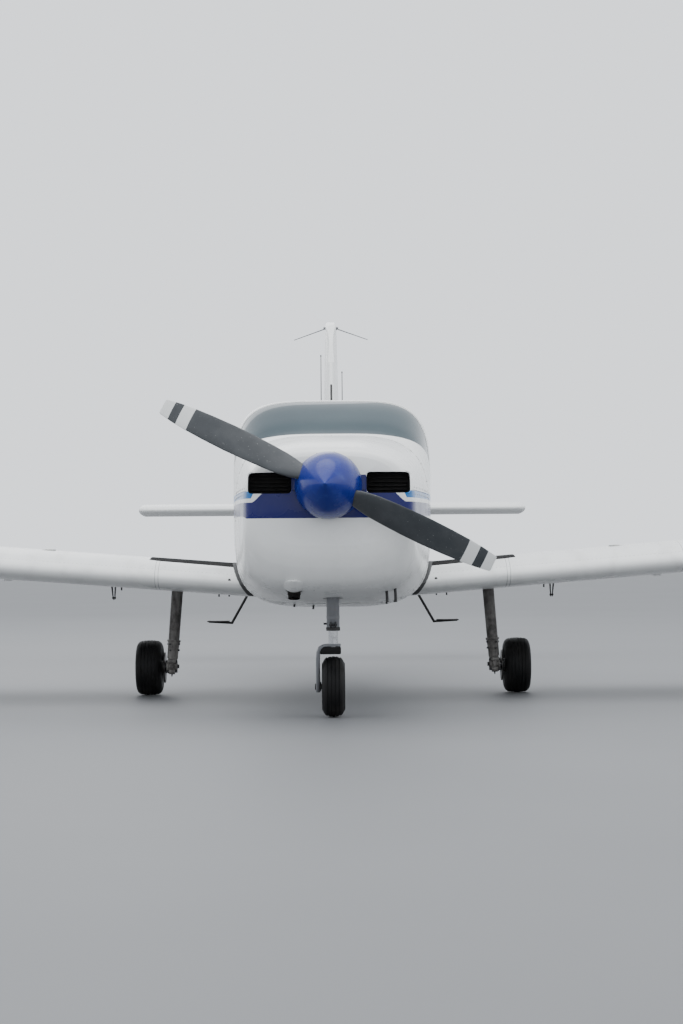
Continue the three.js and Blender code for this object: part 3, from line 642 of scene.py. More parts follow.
# Firewall. A steel sheet between the engine and the cabin, sooty where the engine stands against it
# and white round its rim, which shows in the joint behind the cowling.
bulkhead_paint, shader = new_material("bulkhead paint", 0.5)
x, y, z = split(place(shader))
across = (abs(x) / 0.535) ** 3.0
upward = (abs(z - 1.03) / 0.385) ** 3.0
rim = ramp(across + upward, 0.8, 0.86)
soot = mixed(noise(place(shader), 9.0, 5), (0.05, 0.048, 0.045), (0.12, 0.118, 0.112))
finished(shader, mixed(rim, soot, WHITE))
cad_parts["firewall"].material_slots[0].material = bulkhead_paint

# Propeller. A forged two-blade alloy propeller, painted grey with worn edges and white tip bands,
# in a hub behind a spun, blue painted spinner that is screwed to its backplate.
hub_at = Vector((-0.0235, aft(0.24), 1.24))
cant = math.radians(3)
shaft_way = Vector((math.sin(cant), math.cos(cant), 0))
across_way = Vector((math.cos(cant), -math.sin(cant), 0))
spinner_tip = hub_at + shaft_way * (-0.24 / math.cos(cant))
profile = [(0.0005, 0.001)] + [(0.330 * t, 0.175 * (1 - (1 - t) ** 2))
                                for t in [(k / 36) ** 1.4 for k in range(1, 37)]]
inside = [(0.3299 - back, max(0.001, 0.170 * (1 - (1 - (0.3219 - back) / 0.3219) ** 2)))
          for back in [0.3179 * k / 24 for k in range(25)]]


def turned(name, path, origin, axis, count=96):
    """A turned part: (distance along the axis, radius) pairs, closed on the axis at both ends."""
    along = Vector(axis).normalized()
    side = along.orthogonal().normalized()
    up = along.cross(side)
    rings = [[tuple(Vector(origin) + along * d + (side * math.cos(q) + up * math.sin(q)) * max(r, 0.0002))
              for q in around(count)] for d, r in path]
    return lofted(name, rings)


spinner = turned("spinner_shell", profile + inside, spinner_tip, shaft_way)
blade_turn = math.radians(154)
out = across_way * math.cos(blade_turn) + Vector((0, 0, math.sin(blade_turn)))
ahead = -across_way * math.sin(blade_turn) + Vector((0, 0, math.cos(blade_turn)))
blade_rows = np.array([
    # radius, chord, thickness, pitch
    (0.066, 0.060, 0.060, 45), (0.105, 0.060, 0.060, 45), (0.140, 0.088, 0.050, 41),
    (0.170, 0.110, 0.043, 38), (0.205, 0.127, 0.036, 36.5), (0.260, 0.142, 0.028, 33.5),
    (0.340, 0.149, 0.022, 30), (0.440, 0.152, 0.018, 26), (0.560, 0.151, 0.015, 22),
    (0.680, 0.141, 0.012, 19), (0.790, 0.126, 0.010, 16), (0.860, 0.111, 0.0085, 15.3),
    (0.905, 0.096, 0.007, 14.6), (0.925, 0.090, 0.006, 14), (0.936, 0.084, 0.005, 14),
    (0.940, 0.074, 0.003, 14)])
radii = np.unique(np.concatenate([np.linspace(0.066, 0.925, 60), blade_rows[:, 0]]))


def blade_rings(way, radii, grow=0.0):
    """Oval sections at the root, an aerofoil further out, grown all round for the slot in the spinner."""
    rings = []
    for r in radii:
        chord, thick, pitch = (np.interp(r, blade_rows[:, 0], blade_rows[:, k]) for k in (1, 2, 3))
        p = math.radians(pitch)
        ring = []
        foil = float(np.clip((r - 0.125) / 0.08, 0, 1))
        for q in around(40):
            c, d = math.cos(q) * (chord / 2 + grow), math.sin(q) * (thick / 2 + grow)
            d *= 1 + foil * 0.35 * (c / chord)
            spot = hub_at + out * way * r + ahead * way * (c * math.cos(p) + d * math.sin(p))
            ring.append(tuple(spot + shaft_way * (-c * math.sin(p) + d * math.cos(p))))
        rings.append(ring)
    return rings


slot_radii = np.linspace(0.07, 0.24, 18)
carve(spinner, *[lofted("blade slot", blade_rings(way, slot_radii, 0.002)) for way in (1, -1)])
spinner_blue, shader = new_material("spinner paint", 0.24, coat=0.16, coat_rough=0.05, specular=0.2)
at = place(shader)
finished(shader, mixed(ramp(noise(at, 18.0, 6), 0.45, 0.8), (0.006, 0.017, 0.19), (0.02, 0.04, 0.24)),
         ramp(noise(at, 7.0, 5), 0.3, 0.7, 0.18, 0.34))
fit(spinner, spinner_blue, "propeller", "blue_paint", "spinner")
screws = []
for k in range(12):
    q = 2 * math.pi * (k + 0.5) / 12 + blade_turn
    radial = across_way * math.cos(q) + Vector((0, 0, math.sin(q)))
    screws.append((spinner_tip + shaft_way * 0.305 + radial * 0.1735, radial - shaft_way * 0.10))
black_screw = speckled("dark screws", 0.5, 60.0, (0.02, 0.02, 0.022), (0.06, 0.06, 0.06), metal=0.7)
first = rod("spinner screw", (0, 0, -0.002), (0, 0, 0.0012), 0.0055, 0.0045, 12)
fit(joined("spinner_screws", *copies_of(first, screws)), black_screw, "propeller", "steel")

blade_paint, shader = new_material("propeller paint", 0.42, coat=0.1, coat_rough=0.3, specular=0.35)
at = place(shader)
x, y, z = split(at)
reach = maths("SQRT", (x - hub_at.x) ** 2.0 + (z - hub_at.z) ** 2.0)
bands = maths("MAXIMUM", reach > 0.888, (reach > 0.78) * (reach < 0.842))
grey = mixed(ramp(noise(at, 9.0, 5), 0.35, 0.7), (0.036, 0.041, 0.046), (0.052, 0.057, 0.062))
colour = mixed(bands, grey, (0.72, 0.73, 0.72))
chips = ramp(noise(at, 120.0, 3), 0.68, 0.74)
finished(shader, mixed(chips * 0.5, colour, (0.42, 0.42, 0.41)), ramp(noise(at, 30.0), 0.3, 0.7, 0.34, 0.5))
for word, way in (("upper", 1), ("lower", -1)):
    fit(lofted(word + "_blade", blade_rings(way, radii)), blade_paint, "propeller", "propeller",
        "propeller_blade_" + word, angle=50)
hub = turned("hub_and_backplate", [(0.175, 0.0), (0.175, 0.055), (0.182, 0.062), (0.314, 0.062),
                                   (0.316, 0.066), (0.316, 0.166), (0.319, 0.168), (0.329, 0.168),
                                   (0.330, 0.166), (0.330, 0.0)], spinner_tip, shaft_way)
hub_metal = speckled("hub metal", 0.4, 40.0, (0.26, 0.27, 0.28), (0.4, 0.41, 0.42), metal=0.9)
fit(hub, hub_metal, "propeller", "steel", "propeller_hub")
clamps = [rod("clamp", hub_at + out * side * 0.060, hub_at + out * side * 0.105, 0.038, sides=32,
              bevel=0.003) for side in (1, -1)]
fit(joined("blade_clamps", *clamps), hub_metal, "propeller", "steel")

# Fuselage. Aluminium sheet over frames, riveted in panels and painted; one closed skin is made and cut
# where the real panels, doors and windows meet, each piece as thick as the wall it stands for.
outer = body_form("fuselage outside", 1.3765, 4.25)
inner = body_form("fuselage inside", 1.36, 4.27, 0.035)
shell = carve(twin(outer, "shell"), inner)
floor_level, half_gap = 0.70, 0.0008
belly = carve(outer, brick("below floor", -0.9, 0.9, 1.2, 4.4, 0.4, floor_level - half_gap), how="INTERSECT")
fit(belly, body_paint, "airframe", "white_paint", "belly").name = "belly_skin"
carve(shell, brick("above floor", -0.9, 0.9, 1.2, 4.4, floor_level + half_gap, 2.1), how="INTERSECT")

windscreen_edge = [(1.982, 1.396), (2.130, 1.960), (1.400, 1.960), (1.400, 1.640)]
side_glass_edge = [(2.235, 1.345), (2.925, 1.345), (2.925, 1.705), (2.315, 1.705)]
rear_glass_edge = [(3.112, 1.362), (3.770, 1.386), (3.570, 1.660), (3.112, 1.692)]
front_end, door_front, door_back, door_sill = 2.130, 2.136, 3.020, 1.000


def grown(points, distance):
    """The polygon with its edges moved out, or in for a negative distance."""
    points = [Vector(p) for p in points]
    area = sum(a.x * b.y - b.x * a.y for a, b in zip(points, points[1:] + points[:1]))
    out = distance if area > 0 else -distance
    lines = []
    for a, b in zip(points, points[1:] + points[:1]):
        d = (b - a).normalized()
        lines.append((a + Vector((d.y, -d.x)) * out, d))
    new = []
    for (p, d), (q, e) in zip([lines[-1]] + lines[:-1], lines):
        t = ((q.x - p.x) * e.y - (q.y - p.y) * e.x) / (d.x * e.y - d.y * e.x)
        new.append((p.x + d.x * t, p.y + d.y * t))
    return new


def roof_plan(name, extra):
    """A block that holds the roof: narrow between the doors, wider over the luggage bay."""
    corners = [(-0.12, 2.1303), (0.12, 2.1303), (0.12, 3.026), (0.38, 3.026), (0.38, 4.4), (-0.38, 4.4),
               (-0.38, 3.026), (-0.12, 3.026)]
    path = grown(corners, extra) if extra else corners
    return slab(name, [(x, aft(s), 1.5) for x, s in path], (0, 0, 0.6))


trim_grey, shader = new_material("cabin trim", 0.75, specular=0.3)
at = place(shader)
finished(shader, mixed(ramp(noise(at, 4.0, 5), 0.35, 0.75), (0.13, 0.13, 0.125), (0.085, 0.083, 0.08)))
raised(shader, noise(at, 320.0, 4, 0.7), 0.45, 0.0008)


def trim_inside(piece):
    """The wall's inner faces wear a grained grey trim, and are told from the outer ones by their depth."""
    depth = 0.008
    piece.data.materials.append(trim_grey)
    for face in piece.data.polygons:
        x, y, z = face.center
        middle, rise, half, n = oval_at(y - aft(0), z)
        x -= nose_shift(y - aft(0))
        face.material_index = int((abs(x) / (half - depth)) ** n
                                  + (abs(z - middle) / (rise - depth)) ** n < 1)


front = carve(twin(shell, "front_fuselage_skin"), brick("front keep", -0.9, 0.9, 1.2, front_end, 0.3, 2.1),
              how="INTERSECT")
carve(front, side_slab("windscreen cut", windscreen_edge, -0.9, 0.9, 0.05))
trim_inside(fit(front, body_paint, "airframe", "white_paint", "front_fuselage"))
roof = carve(twin(shell, "roof_skin"), roof_plan("roof keep", 0.0), how="INTERSECT")
trim_inside(fit(roof, body_paint, "airframe", "white_paint", "roof"))
hatch = [(3.866, 0.985), (4.156, 0.985), (4.156, 1.385), (3.866, 1.385)]
both_sides = ((1, "left"), (-1, "right"))
for side, word in both_sides:
    lo, hi = (0.0, 0.9) if side > 0 else (-0.9, 0.0)
    wall = carve(twin(shell, "wall"), brick("side keep", lo, hi, front_end + 0.0004, 4.4, 0.3, 2.1),
                 how="INTERSECT")
    carve(wall, roof_plan("roof cut", 0.0004))
    carve(wall, side_slab("door opening", [(2.121, 0.994), (3.026, 0.994), (3.026, 2.1), (2.121, 2.1)],
                          lo, hi, 0.06))
    carve(wall, side_slab("rear window cut", rear_glass_edge, side * 0.2, side * 0.9, 0.07))
    if side > 0:
        carve(wall, side_slab("hatch opening", grown(hatch, 0.006), 0.2, 0.9, 0.036))
    trim_inside(fit(wall, body_paint, "airframe", "white_paint", "side_wall_" + word))
    wall.name = "side_wall_skin_" + word

    # Door. A gull door that hangs on hinges along the roof, pressed from aluminium sheet, with its
    # skin folded round the edge and a moulded trim inside.
    door_edge = [(door_front, door_sill), (door_back, door_sill), (door_back, 2.1), (door_front, 2.1)]
    door = carve(twin(shell, "door_skin_" + word),
                 side_slab("door keep", door_edge, side * 0.13, side * 0.9, 0.054), how="INTERSECT")
    carve(door, side_slab("door window cut", side_glass_edge, side * 0.13, side * 0.9, 0.07))
    trim_inside(fit(door, body_paint, "door_" + word, "white_paint", "door_" + word))
baggage = carve(twin(shell, "baggage_door_skin"), side_slab("hatch keep", hatch, 0.2, 0.9, 0.03),
                how="INTERSECT")
trim_inside(fit(baggage, body_paint, "baggage_door", "white_paint", "baggage_door"))
bpy.data.objects.remove(shell)

# Rivets. Domed aluminium heads in rows round the frames and along the seams, painted over with
# the skin; the rows stop where the windscreen, the fin and the baggage door lie.
places = []
for station in (1.40, 1.62, 3.86, 4.235, 4.27, 4.62, 5.0, 5.4, 5.8, 6.2, 6.6, 6.9):
    low, high, half, upper, lower = body_at(station)
    count = int((half * 4 + (high - low) * 2) / 0.055)
    for k in range(count):
        turn = 360 * k / count
        spot = body_point(station, turn)
        if station < 1.7 and spot.z > body_at(1.5)[1] - 0.02 or station > 5.0 and spot.z > high - 0.03:
            continue
        if station == 3.86 and 0.95 < spot.z < 1.42 and spot.x > 0:
            continue
        places.append((spot, skin_normal(station, turn)))
for z in (0.86, 1.52):
    for station in np.arange(4.30, 6.7, 0.05):
        if body_at(station)[0] + 0.05 < z < body_at(station)[1] - 0.03:
            turn = turn_for(station, z)
            for angle in (turn, 180 - turn):
                places.append((body_point(station, angle), skin_normal(station, angle)))
first = rod("body rivet", (0, 0, -0.001), (0, 0, 0.0009), 0.0042, 0.0028, 8)
fit(joined("body_rivets", *copies_of(first, places)), body_paint, "airframe", "white_paint")

# Handles. Each door has a polished lever on a plate with a lock below it; the baggage door has
# a small latch and two pinned hinges at its front edge.
handle_metal, shader = new_material("handle metal", 0.3, metal=1.0)
finished(shader, mixed(noise(place(shader), 55.0), (0.42, 0.42, 0.41), (0.62, 0.62, 0.6)),
         ramp(noise(place(shader), 160.0), 0.3, 0.7, 0.22, 0.42))
for side, word in both_sides:
    x = side_x(2.95, 1.16) * side
    plate = side_slab("plate", [(2.885, 1.135), (2.975, 1.135), (2.975, 1.19), (2.885, 1.19)],
                      x - side * 0.004, x + side * 0.0012, 0.02)
    lever = side_slab("lever", [(2.892, 1.150), (2.968, 1.146), (2.970, 1.168), (2.892, 1.178)],
                      x + side * 0.0005, x + side * 0.009, 0.009)
    soften(lever, 0.0025)
    lock = rod("lock", (x, aft(2.93), 1.108), (x + side * 0.003, aft(2.93), 1.108), 0.009, sides=20,
               bevel=0.001)
    fit(joined("door_handle_" + word, plate, lever, lock), handle_metal, "door_" + word, "steel")
x = side_x(4.13, 1.2)
latch_edge = [(4.10, 1.17), (4.135, 1.17), (4.135, 1.21), (4.10, 1.21)]
latch = soften(side_slab("latch", latch_edge, x - 0.004, x + 0.003, 0.008), 0.001)
pins = []
for z in (1.06, 1.31):
    x = side_x(3.86, z) + 0.001
    pins.append(rod("pin", (x, aft(3.862), z - 0.04), (x, aft(3.862), z + 0.04), 0.0032, sides=12))
fit(joined("hatch_latch", latch), handle_metal, "baggage_door", "steel")
fit(joined("hatch_hinges", *pins), handle_metal, "airframe", "steel")

# Windows. The windscreen is one blown acrylic sheet, grey-green and slightly hazed, held by a white
# painted strip; the side windows are flat-curved panes, set in black rubber seals.
glass, shader = new_material("tinted acrylic", 0.04, specular=0.35)
at = place(shader)
finished(shader, mixed(ramp(noise(at, 1.6, 5), 0.35, 0.7), (0.022, 0.05, 0.064), (0.038, 0.072, 0.086)),
         ramp(noise(at, 22.0, 6), 0.35, 0.75, 0.025, 0.1))
shader.inputs["Transmission Weight"].default_value = 0.42
shader.inputs["IOR"].default_value = 1.45
shader.inputs["Specular Tint"].default_value = (0.66, 0.86, 1.0, 1.0)
seal_rubber = speckled("window seal", 0.7, 70.0, (0.03, 0.03, 0.032), (0.085, 0.085, 0.085),
                       bump=(240.0, 4, 0.3, 0.0004))


def skin_layer(name, start, end, top, depth):
    """The body's skin from one station to another, between two depths."""
    room = body_form("room", start - 0.01, end + 0.01, depth, 128)
    return carve(body_form(name, start, end, top, 128), room)


def pane(name, start, end, edge, radius, x0, x1, inset, thick, body, *nodes):
    piece = skin_layer(name, start, end, inset, inset + thick)
    carve(piece, side_slab("pane edge", grown(edge, -0.0005), x0, x1, radius), how="INTERSECT")
    return fit(piece, glass, body, "glazing", *nodes)


def seal(name, start, end, edge, radius, x0, x1, top, depth, width, body, material=seal_rubber, slot="trim"):
    piece = skin_layer(name, start, end, top, depth)
    carve(piece, side_slab("seal outer edge", grown(edge, -0.0006), x0, x1, radius), how="INTERSECT")
    carve(piece, side_slab("seal inner edge", grown(edge, -width), x0, x1, max(radius - width, 0.02)))
    return fit(piece, material, body, slot)


pane("windscreen_pane", 1.45, 2.112, windscreen_edge, 0.05, -0.9, 0.9, 0.003, 0.008, "airframe",
     "windscreen")
seal("windscreen_strip", 1.46, 2.11, windscreen_edge, 0.05, -0.9, 0.9, 0.0006, 0.0028, 0.009, "airframe",
     body_paint, "white_paint")
for side, word in both_sides:
    lo, hi = side * 0.13, side * 0.9
    pane("door_window_pane_" + word, 2.2, 2.96, side_glass_edge, 0.07, lo, hi, 0.006, 0.006,
         "door_" + word, "door_window_" + word)
    seal("door_window_seal_" + word, 2.2, 2.96, side_glass_edge, 0.07, lo, hi, 0.001, 0.0058, 0.012,
         "door_" + word)
    pane("rear_window_pane_" + word, 3.06, 3.82, rear_glass_edge, 0.07, lo, hi, 0.006, 0.006,
         "airframe", "rear_window_" + word)
    seal("rear_window_seal_" + word, 3.06, 3.82, rear_glass_edge, 0.07, lo, hi, 0.001, 0.0058, 0.012,
         "airframe")

# Weather seal. A pale foam strip is glued in the joint round the front of the doors and the roof,
# and stops at the sills.
pale_seal = speckled("door seal", 0.8, 50.0, (0.50, 0.505, 0.51), (0.36, 0.365, 0.37), specular=0.2)
weather = carve(body_form("door_front_seal", 2.1306, 2.1356, 0.0008),
                body_form("seal room", 2.12, 2.15, 0.013),
                brick("below the sills", -0.9, 0.9, 2.1, 2.2, 0.3, 1.002))
fit(weather, pale_seal, "airframe", "trim")

# Tail cone. The same riveted sheet, drawn in to the bracket that carries the tailplane, with a
# round tie-down pad below.
tail = carve(body_form("tail_cone_skin", 4.2512, 7.165), body_form("tail inside", 4.2, 6.88, 0.008))
pad = rod("tail pad", (0, aft(6.64), 1.0662), (0, aft(6.64), 1.15), 0.022, sides=40)
fit(carve(tail, pad, how="UNION"), body_paint, "airframe", "white_paint", "tail_cone")

# Wings. Riveted aluminium over a single spar, gloss white, with a black grip strip by the root,
# screwed leading edge panels and a moulded tip.
span_tilt = math.radians(4.5)
root_x, root_at, root_z = 0.6, 2.05, 0.715
chord, thick, camber = 1.22, 0.16, 0.02


def foil_half(f, thick):
    """Half the thickness of an aerofoil at f of its chord, as a share of the chord."""
    return 5 * thick * (0.2969 * math.sqrt(f) - 0.126 * f - 0.3516 * f**2 + 0.2843 * f**3 - 0.1015 * f**4)


def foil_mean(f, camber):
    """The height of its middle line there."""
    p = 0.4
    return camber / (p if f < p else 1 - p) ** 2 * ((0 if f < p else 1 - 2 * p) + 2 * p * f - f * f)


def foil_point(le, te, thick, camber, f, side):
    return le + (te - le) * f, (te - le) * (foil_mean(f, camber) + side * foil_half(f, thick))


def foil_ring(le, te, thick, camber=0.0, steps=36):
    return [foil_point(le, te, thick, camber, (1 - math.cos(math.pi * abs(k) / steps)) / 2,
                       1 if k < 0 else -1) for k in range(-steps, steps + 1)]


def hinge_of(le, te, thick, camber, hinge):
    """The hinge's share of the chord, and the half thickness and middle line there."""
    f = (hinge - le) / (te - le)
    return f, (te - le) * foil_half(f, thick), (te - le) * foil_mean(f, camber)


def nose_arc(hinge, middle, radius, start, end):
    """An arc in 20 steps about a hinge, from one angle to another in degrees."""
    return [(hinge + radius * math.cos(q), middle + radius * math.sin(q))
            for q in np.radians(np.linspace(start, end, 21))]


def flap_ring(le, te, thick, camber, hinge):
    """The section of a control surface: a round nose about the hinge, then the foil's rear."""
    f, radius, middle = hinge_of(le, te, thick, camber, hinge)
    ring = nose_arc(hinge, middle, radius, 90, 270)
    ring += [foil_point(le, te, thick, camber, f + (1 - f) * k / 8, -1) for k in range(1, 9)]
    return ring + [foil_point(le, te, thick, camber, f + (1 - f) * k / 8, 1) for k in range(8, 0, -1)]


def cove_ring(le, te, thick, camber, hinge, up, down):
    """The section of the room it turns in, with a hollow that reaches round the nose."""
    f, radius, middle = hinge_of(le, te, thick, camber, hinge)
    arc = nose_arc(hinge, middle, radius + 0.007, 90 + up, 270 - down)
    far = radius + 0.12
    return arc + [(arc[-1][0], middle - far), (te + 0.09, middle - far), (te + 0.09, middle + far),
                  (arc[0][0], middle + far)]


def on_wing(u, w, v, side):
    """The place on the left (1) or right (-1) wing: u back, w up and v out along the span."""
    return (side * (root_x + (v - root_x) * math.cos(span_tilt) - w * math.sin(span_tilt)), aft(root_at + u),
            root_z + (v - root_x) * math.sin(span_tilt) + w * math.cos(span_tilt))


def sweep(name, sections, place_of):
    return lofted(name, [[place_of(u, w, v) for u, w in ring] for v, ring in sections])


def wing_sweep(name, sections, side, lower=0.0):
    return sweep(name, sections, lambda u, w, v: on_wing(u, w - lower, v, side))


def wing_face(f, face):
    """A point of the wing's section, f of the chord back, on its upper (1) or lower (-1) face."""
    return foil_point(0, chord, thick, camber, f, face)


def wing_paint(name):
    material, shader = new_material(name, 0.3, coat=0.15, coat_rough=0.08, specular=0.3)
    at = place(shader)
    x, y, z = split(at)
    wide = abs(x)
    lines = ramp(abs(y - aft(2.56)), 0.0018, 0.0007)
    for spot in (1.042, 1.062, 2.10, 3.08, 4.64):
        lines = maths("MAXIMUM", lines, ramp(abs(wide - spot), 0.0022, 0.0008))
    above = z > wide * math.tan(span_tilt) + 0.668
    row = ramp(abs(y - aft(2.092)), 0.0042, 0.0026) * above * (maths("FRACT", wide * 40.0) < 0.4)
    lines = maths("MAXIMUM", lines, row * 0.3)
    streak = noise(at, 8.0, 6, stretch=(1.0, 0.12, 1.0))
    front = ramp(y, aft(2.16), aft(root_at))
    bugs = ramp(noise(at, 150.0, 2), 0.7, 0.78) * front
    grime = ramp(streak, 0.45, 0.8) * 0.22
    colour = mixed(grime, WHITE, (0.24, 0.235, 0.22))
    colour = mixed(bugs * 0.6, colour, (0.1, 0.09, 0.075))
    colour = mixed(lines * 0.65, colour, (0.09, 0.09, 0.09))
    finished(shader, colour, ramp(noise(at, 2.0, 5), 0.3, 0.7, 0.2, 0.36))
    raised(shader, lines * -1.0 + noise(at, 420.0, 2) * 0.05, 0.5, 0.0008)
    return material


wing_skin_paint = wing_paint("wing skin paint")
tips = [
    # span, front edge, rear edge, share of the thickness
    (0.39, 0, 1, 1), (1.5, 0, 1, 1), (3.0, 0, 1, 1), (4.60, 0, 1, 1), (4.64, 0, 1, 1),
    (4.70, 0.006, 0.9992, 0.985), (4.76, 0.024, 0.9967, 0.93), (4.80, 0.050, 0.991, 0.85),
    (4.84, 0.088, 0.982, 0.74), (4.862, 0.130, 0.970, 0.62), (4.878, 0.180, 0.952, 0.49),
    (4.886, 0.222, 0.936, 0.40)]
flap_span, aileron_span = (0.655, 3.050), (3.110, 4.620)
flap_hinge, aileron_hinge, end_gap = 0.900, 0.950, 0.007
for side, word in both_sides:
    rings = [(v, foil_ring(le, chord * te, thick * t, camber)) for v, le, te, t in tips]
    wing = wing_sweep("wing_skin_" + word, rings, side)
    for (v0, v1), hinge, up, down in ((flap_span, flap_hinge, 0, 36), (aileron_span, aileron_hinge, 26, 26)):
        ring = cove_ring(0, chord, thick, camber, hinge, up, down)
        way = Vector(on_wing(0, 0, v1 + end_gap, side)) - Vector(on_wing(0, 0, v0 - end_gap, side))
        carve(wing, slab("cove", [on_wing(u, w, v0 - end_gap, side) for u, w in ring], way))
    carve(wing, body_room(1.9, 3.42))
    pad = rod("jack pad", (side * 2.0, aft(2.48), 0.7382), (side * 2.0, aft(2.48), 0.80), 0.026, sides=32)
    carve(wing, pad, how="UNION")
    fit(wing, wing_skin_paint, "airframe", "white_paint", "wing_" + word)
    for name, (v0, v1), hinge in (("flap", flap_span, flap_hinge), ("aileron", aileron_span, aileron_hinge)):
        ring = flap_ring(0, chord, thick, camber, hinge)
        surface = wing_sweep(name + "_skin_" + word, [(v0, ring), (v1, ring)], side)
        fit(surface, wing_skin_paint, name + "_" + word, "white_paint", name + "_" + word)

    # Fasteners. Flush screws hold the leading edge panels, and domed rivets run along the spar
    # above and below, all painted over with the wing.
    places = []
    rows = [(root_x + (0.025 * k + 0.005 - root_x) / math.cos(span_tilt), 0.042, 1) for k in range(28, 184)]
    spar_rows = ((0.50, 1), (0.53, 1), (0.50, -1))
    rows += [(v, u, face) for v in np.arange(0.70, 4.60, 0.045) for u, face in spar_rows]
    for v, u, face in rows:
        on_walkway = v <= 1.14 and u >= 0.1 and face > 0
        if not on_walkway:
            here = Vector(on_wing(*wing_face(u / chord, face), v, side))
            along = (Vector(on_wing(*wing_face(u / chord + 0.004, face), v, side)) - here).normalized()
            normal = along.cross(Vector((side * math.cos(span_tilt), 0, math.sin(span_tilt)))).normalized()
            if normal.z * face < 0:
                normal = -normal
            places.append((here, normal))
    first = rod("rivet", (0, 0, -0.001), (0, 0, 0.0009), 0.0042, 0.0028, 8)
    fit(joined("wing_rivets_" + word, *copies_of(first, places)), wing_skin_paint, "airframe", "white_paint")

# Walkways. A gritted black sheet is glued on each wing by the root, for boarding, and its inner
# edge follows the fuselage.
grip_sheet, shader = new_material("grip sheet", 0.95, specular=0.12)
at = place(shader)
grit = noise(at, 420.0, 2)
colour = mixed(ramp(noise(at, 5.0, 6), 0.4, 0.75), (0.01, 0.01, 0.011), (0.035, 0.034, 0.032))
finished(shader, mixed(grit, colour, (0.022, 0.022, 0.022)))
raised(shader, grit, 0.8, 0.0012)
for side, word in both_sides:
    fractions = np.linspace(0.150, 0.722, 30)
    sheet = []
    for v in (0.60, 0.75, 0.90, 1.05, 1.118):
        ahead_by = 0.040 * (1.118 - v)
        moved = [f - ahead_by * (0.722 - f) / 0.572 + 0.012 * (v > 1.1) * (f < 0.2) for f in fractions]
        top = [wing_face(f, 1) for f in moved]
        sheet.append((v, [(u, w + 0.0007) for u, w in top] + [(u, w - 0.0025) for u, w in reversed(top)]))
    sheet = wing_sweep("walkway_" + word, sheet, side)
    carve(sheet, body_room(2.0, 3.2))
    fit(sheet, grip_sheet, "airframe", "trim")

# Root fillets. A dark strip, as wide as a thumb, lies in the joint where each wing's front and upper face
# meet the body; its dark colour is painted shade of the shadowed fillet there.
for side, word in both_sides:
    rings = []
    for f, face in [(0.60, 1), (0.50, 1), (0.42, 1), (0.30, 1), (0.20, 1), (0.12, 1), (0.06, 1), (0.025, 1),
                    (0.008, 1), (0.0, 1), (0.006, -1), (0.02, -1), (0.05, -1), (0.09, -1)]:
        u, w = wing_face(f, face)
        near = max(f, 0.0008)
        slope = (wing_face(near + 0.002, face)[1] - wing_face(near, face)[1]) / (0.002 * chord)
        up = Vector((-slope, 1.0)).normalized() * face if f > 0.004 else Vector((-1.0, 0.0))
        z = root_z + w
        x = side_x(root_at + u, z + 0.002)
        z += (x - root_x) * math.tan(span_tilt)
        ring = []
        for q in around(16):
            out, lift = 0.017 * math.cos(q), 0.004 * math.sin(q) + 0.001
            ring.append((side * (x + 0.011 + out), aft(root_at + u) + up.x * lift,
                         z + up.y * lift + out * math.tan(span_tilt)))
        rings.append(ring)
    # The strip wears the dark seal rubber as painted shade.
    fit(lofted("root_seal_" + word, rings), seal_rubber, "airframe", "trim")

# Tailplane, fin and rudder. Light aluminium over ribs, painted white; the tailplane turns as one
# piece about the tail cone's end, with a tab on hinges along its rear edge.
tail_chord, tail_thick = 0.78, 0.13


def on_tail(u, w, v):
    return v, aft(6.92 + u), 1.263 + w


tab_hinge = 0.652
spans = [(-1.6, 0.060, 0.985, 0.62), (-1.594, 0.046, 0.99, 0.72), (-1.58, 0.022, 0.996, 0.88),
         (-1.56, 0, 1, 1), (-0.8, 0, 1, 1), (0.0, 0, 1, 1)]
spans = spans + [(-v, le, te, t) for v, le, te, t in reversed(spans[:-1])]
tailplane = sweep("tailplane_skin", [(v, foil_ring(le, tail_chord * te, tail_thick * t, 0, 30))
                                     for v, le, te, t in spans], on_tail)
ring = cove_ring(0, tail_chord, tail_thick, 0, tab_hinge, 20, 20)
carve(tailplane, sweep("tab cove", [(-1.517, ring), (1.517, ring)], on_tail),
      brick("tail notch", -0.104, 0.104, 6.8, 7.188, 1.0, 1.5))
fit(tailplane, plain_paint, "tailplane", "white_paint", "tailplane")
ring = flap_ring(0, tail_chord, tail_thick, 0, tab_hinge)
fit(sweep("tab_skin", [(-1.51, ring), (0.0, ring), (1.51, ring)], on_tail), plain_paint, "tailplane_tab",
    "white_paint", "tailplane_tab")
rake = math.radians(10.4)


def on_fin(u, w, v):
    back = u * math.cos(rake) + v * math.sin(rake)
    return w, aft(6.72 + back), 1.45 - u * math.sin(rake) + v * math.cos(rake)


def fin_form(name, levels, ring_of):
    """A form swept up the fin, from front edge, rear edge and thickness as they change with height."""
    rows = []
    for v in levels:
        t = (v + 0.18) / 1.5
        rows.append((v, ring_of(-1.146 + 0.63 * t, 0.425 - 0.15 * t, 0.088 + 0.02 * t)))
    return sweep(name, rows, on_fin)


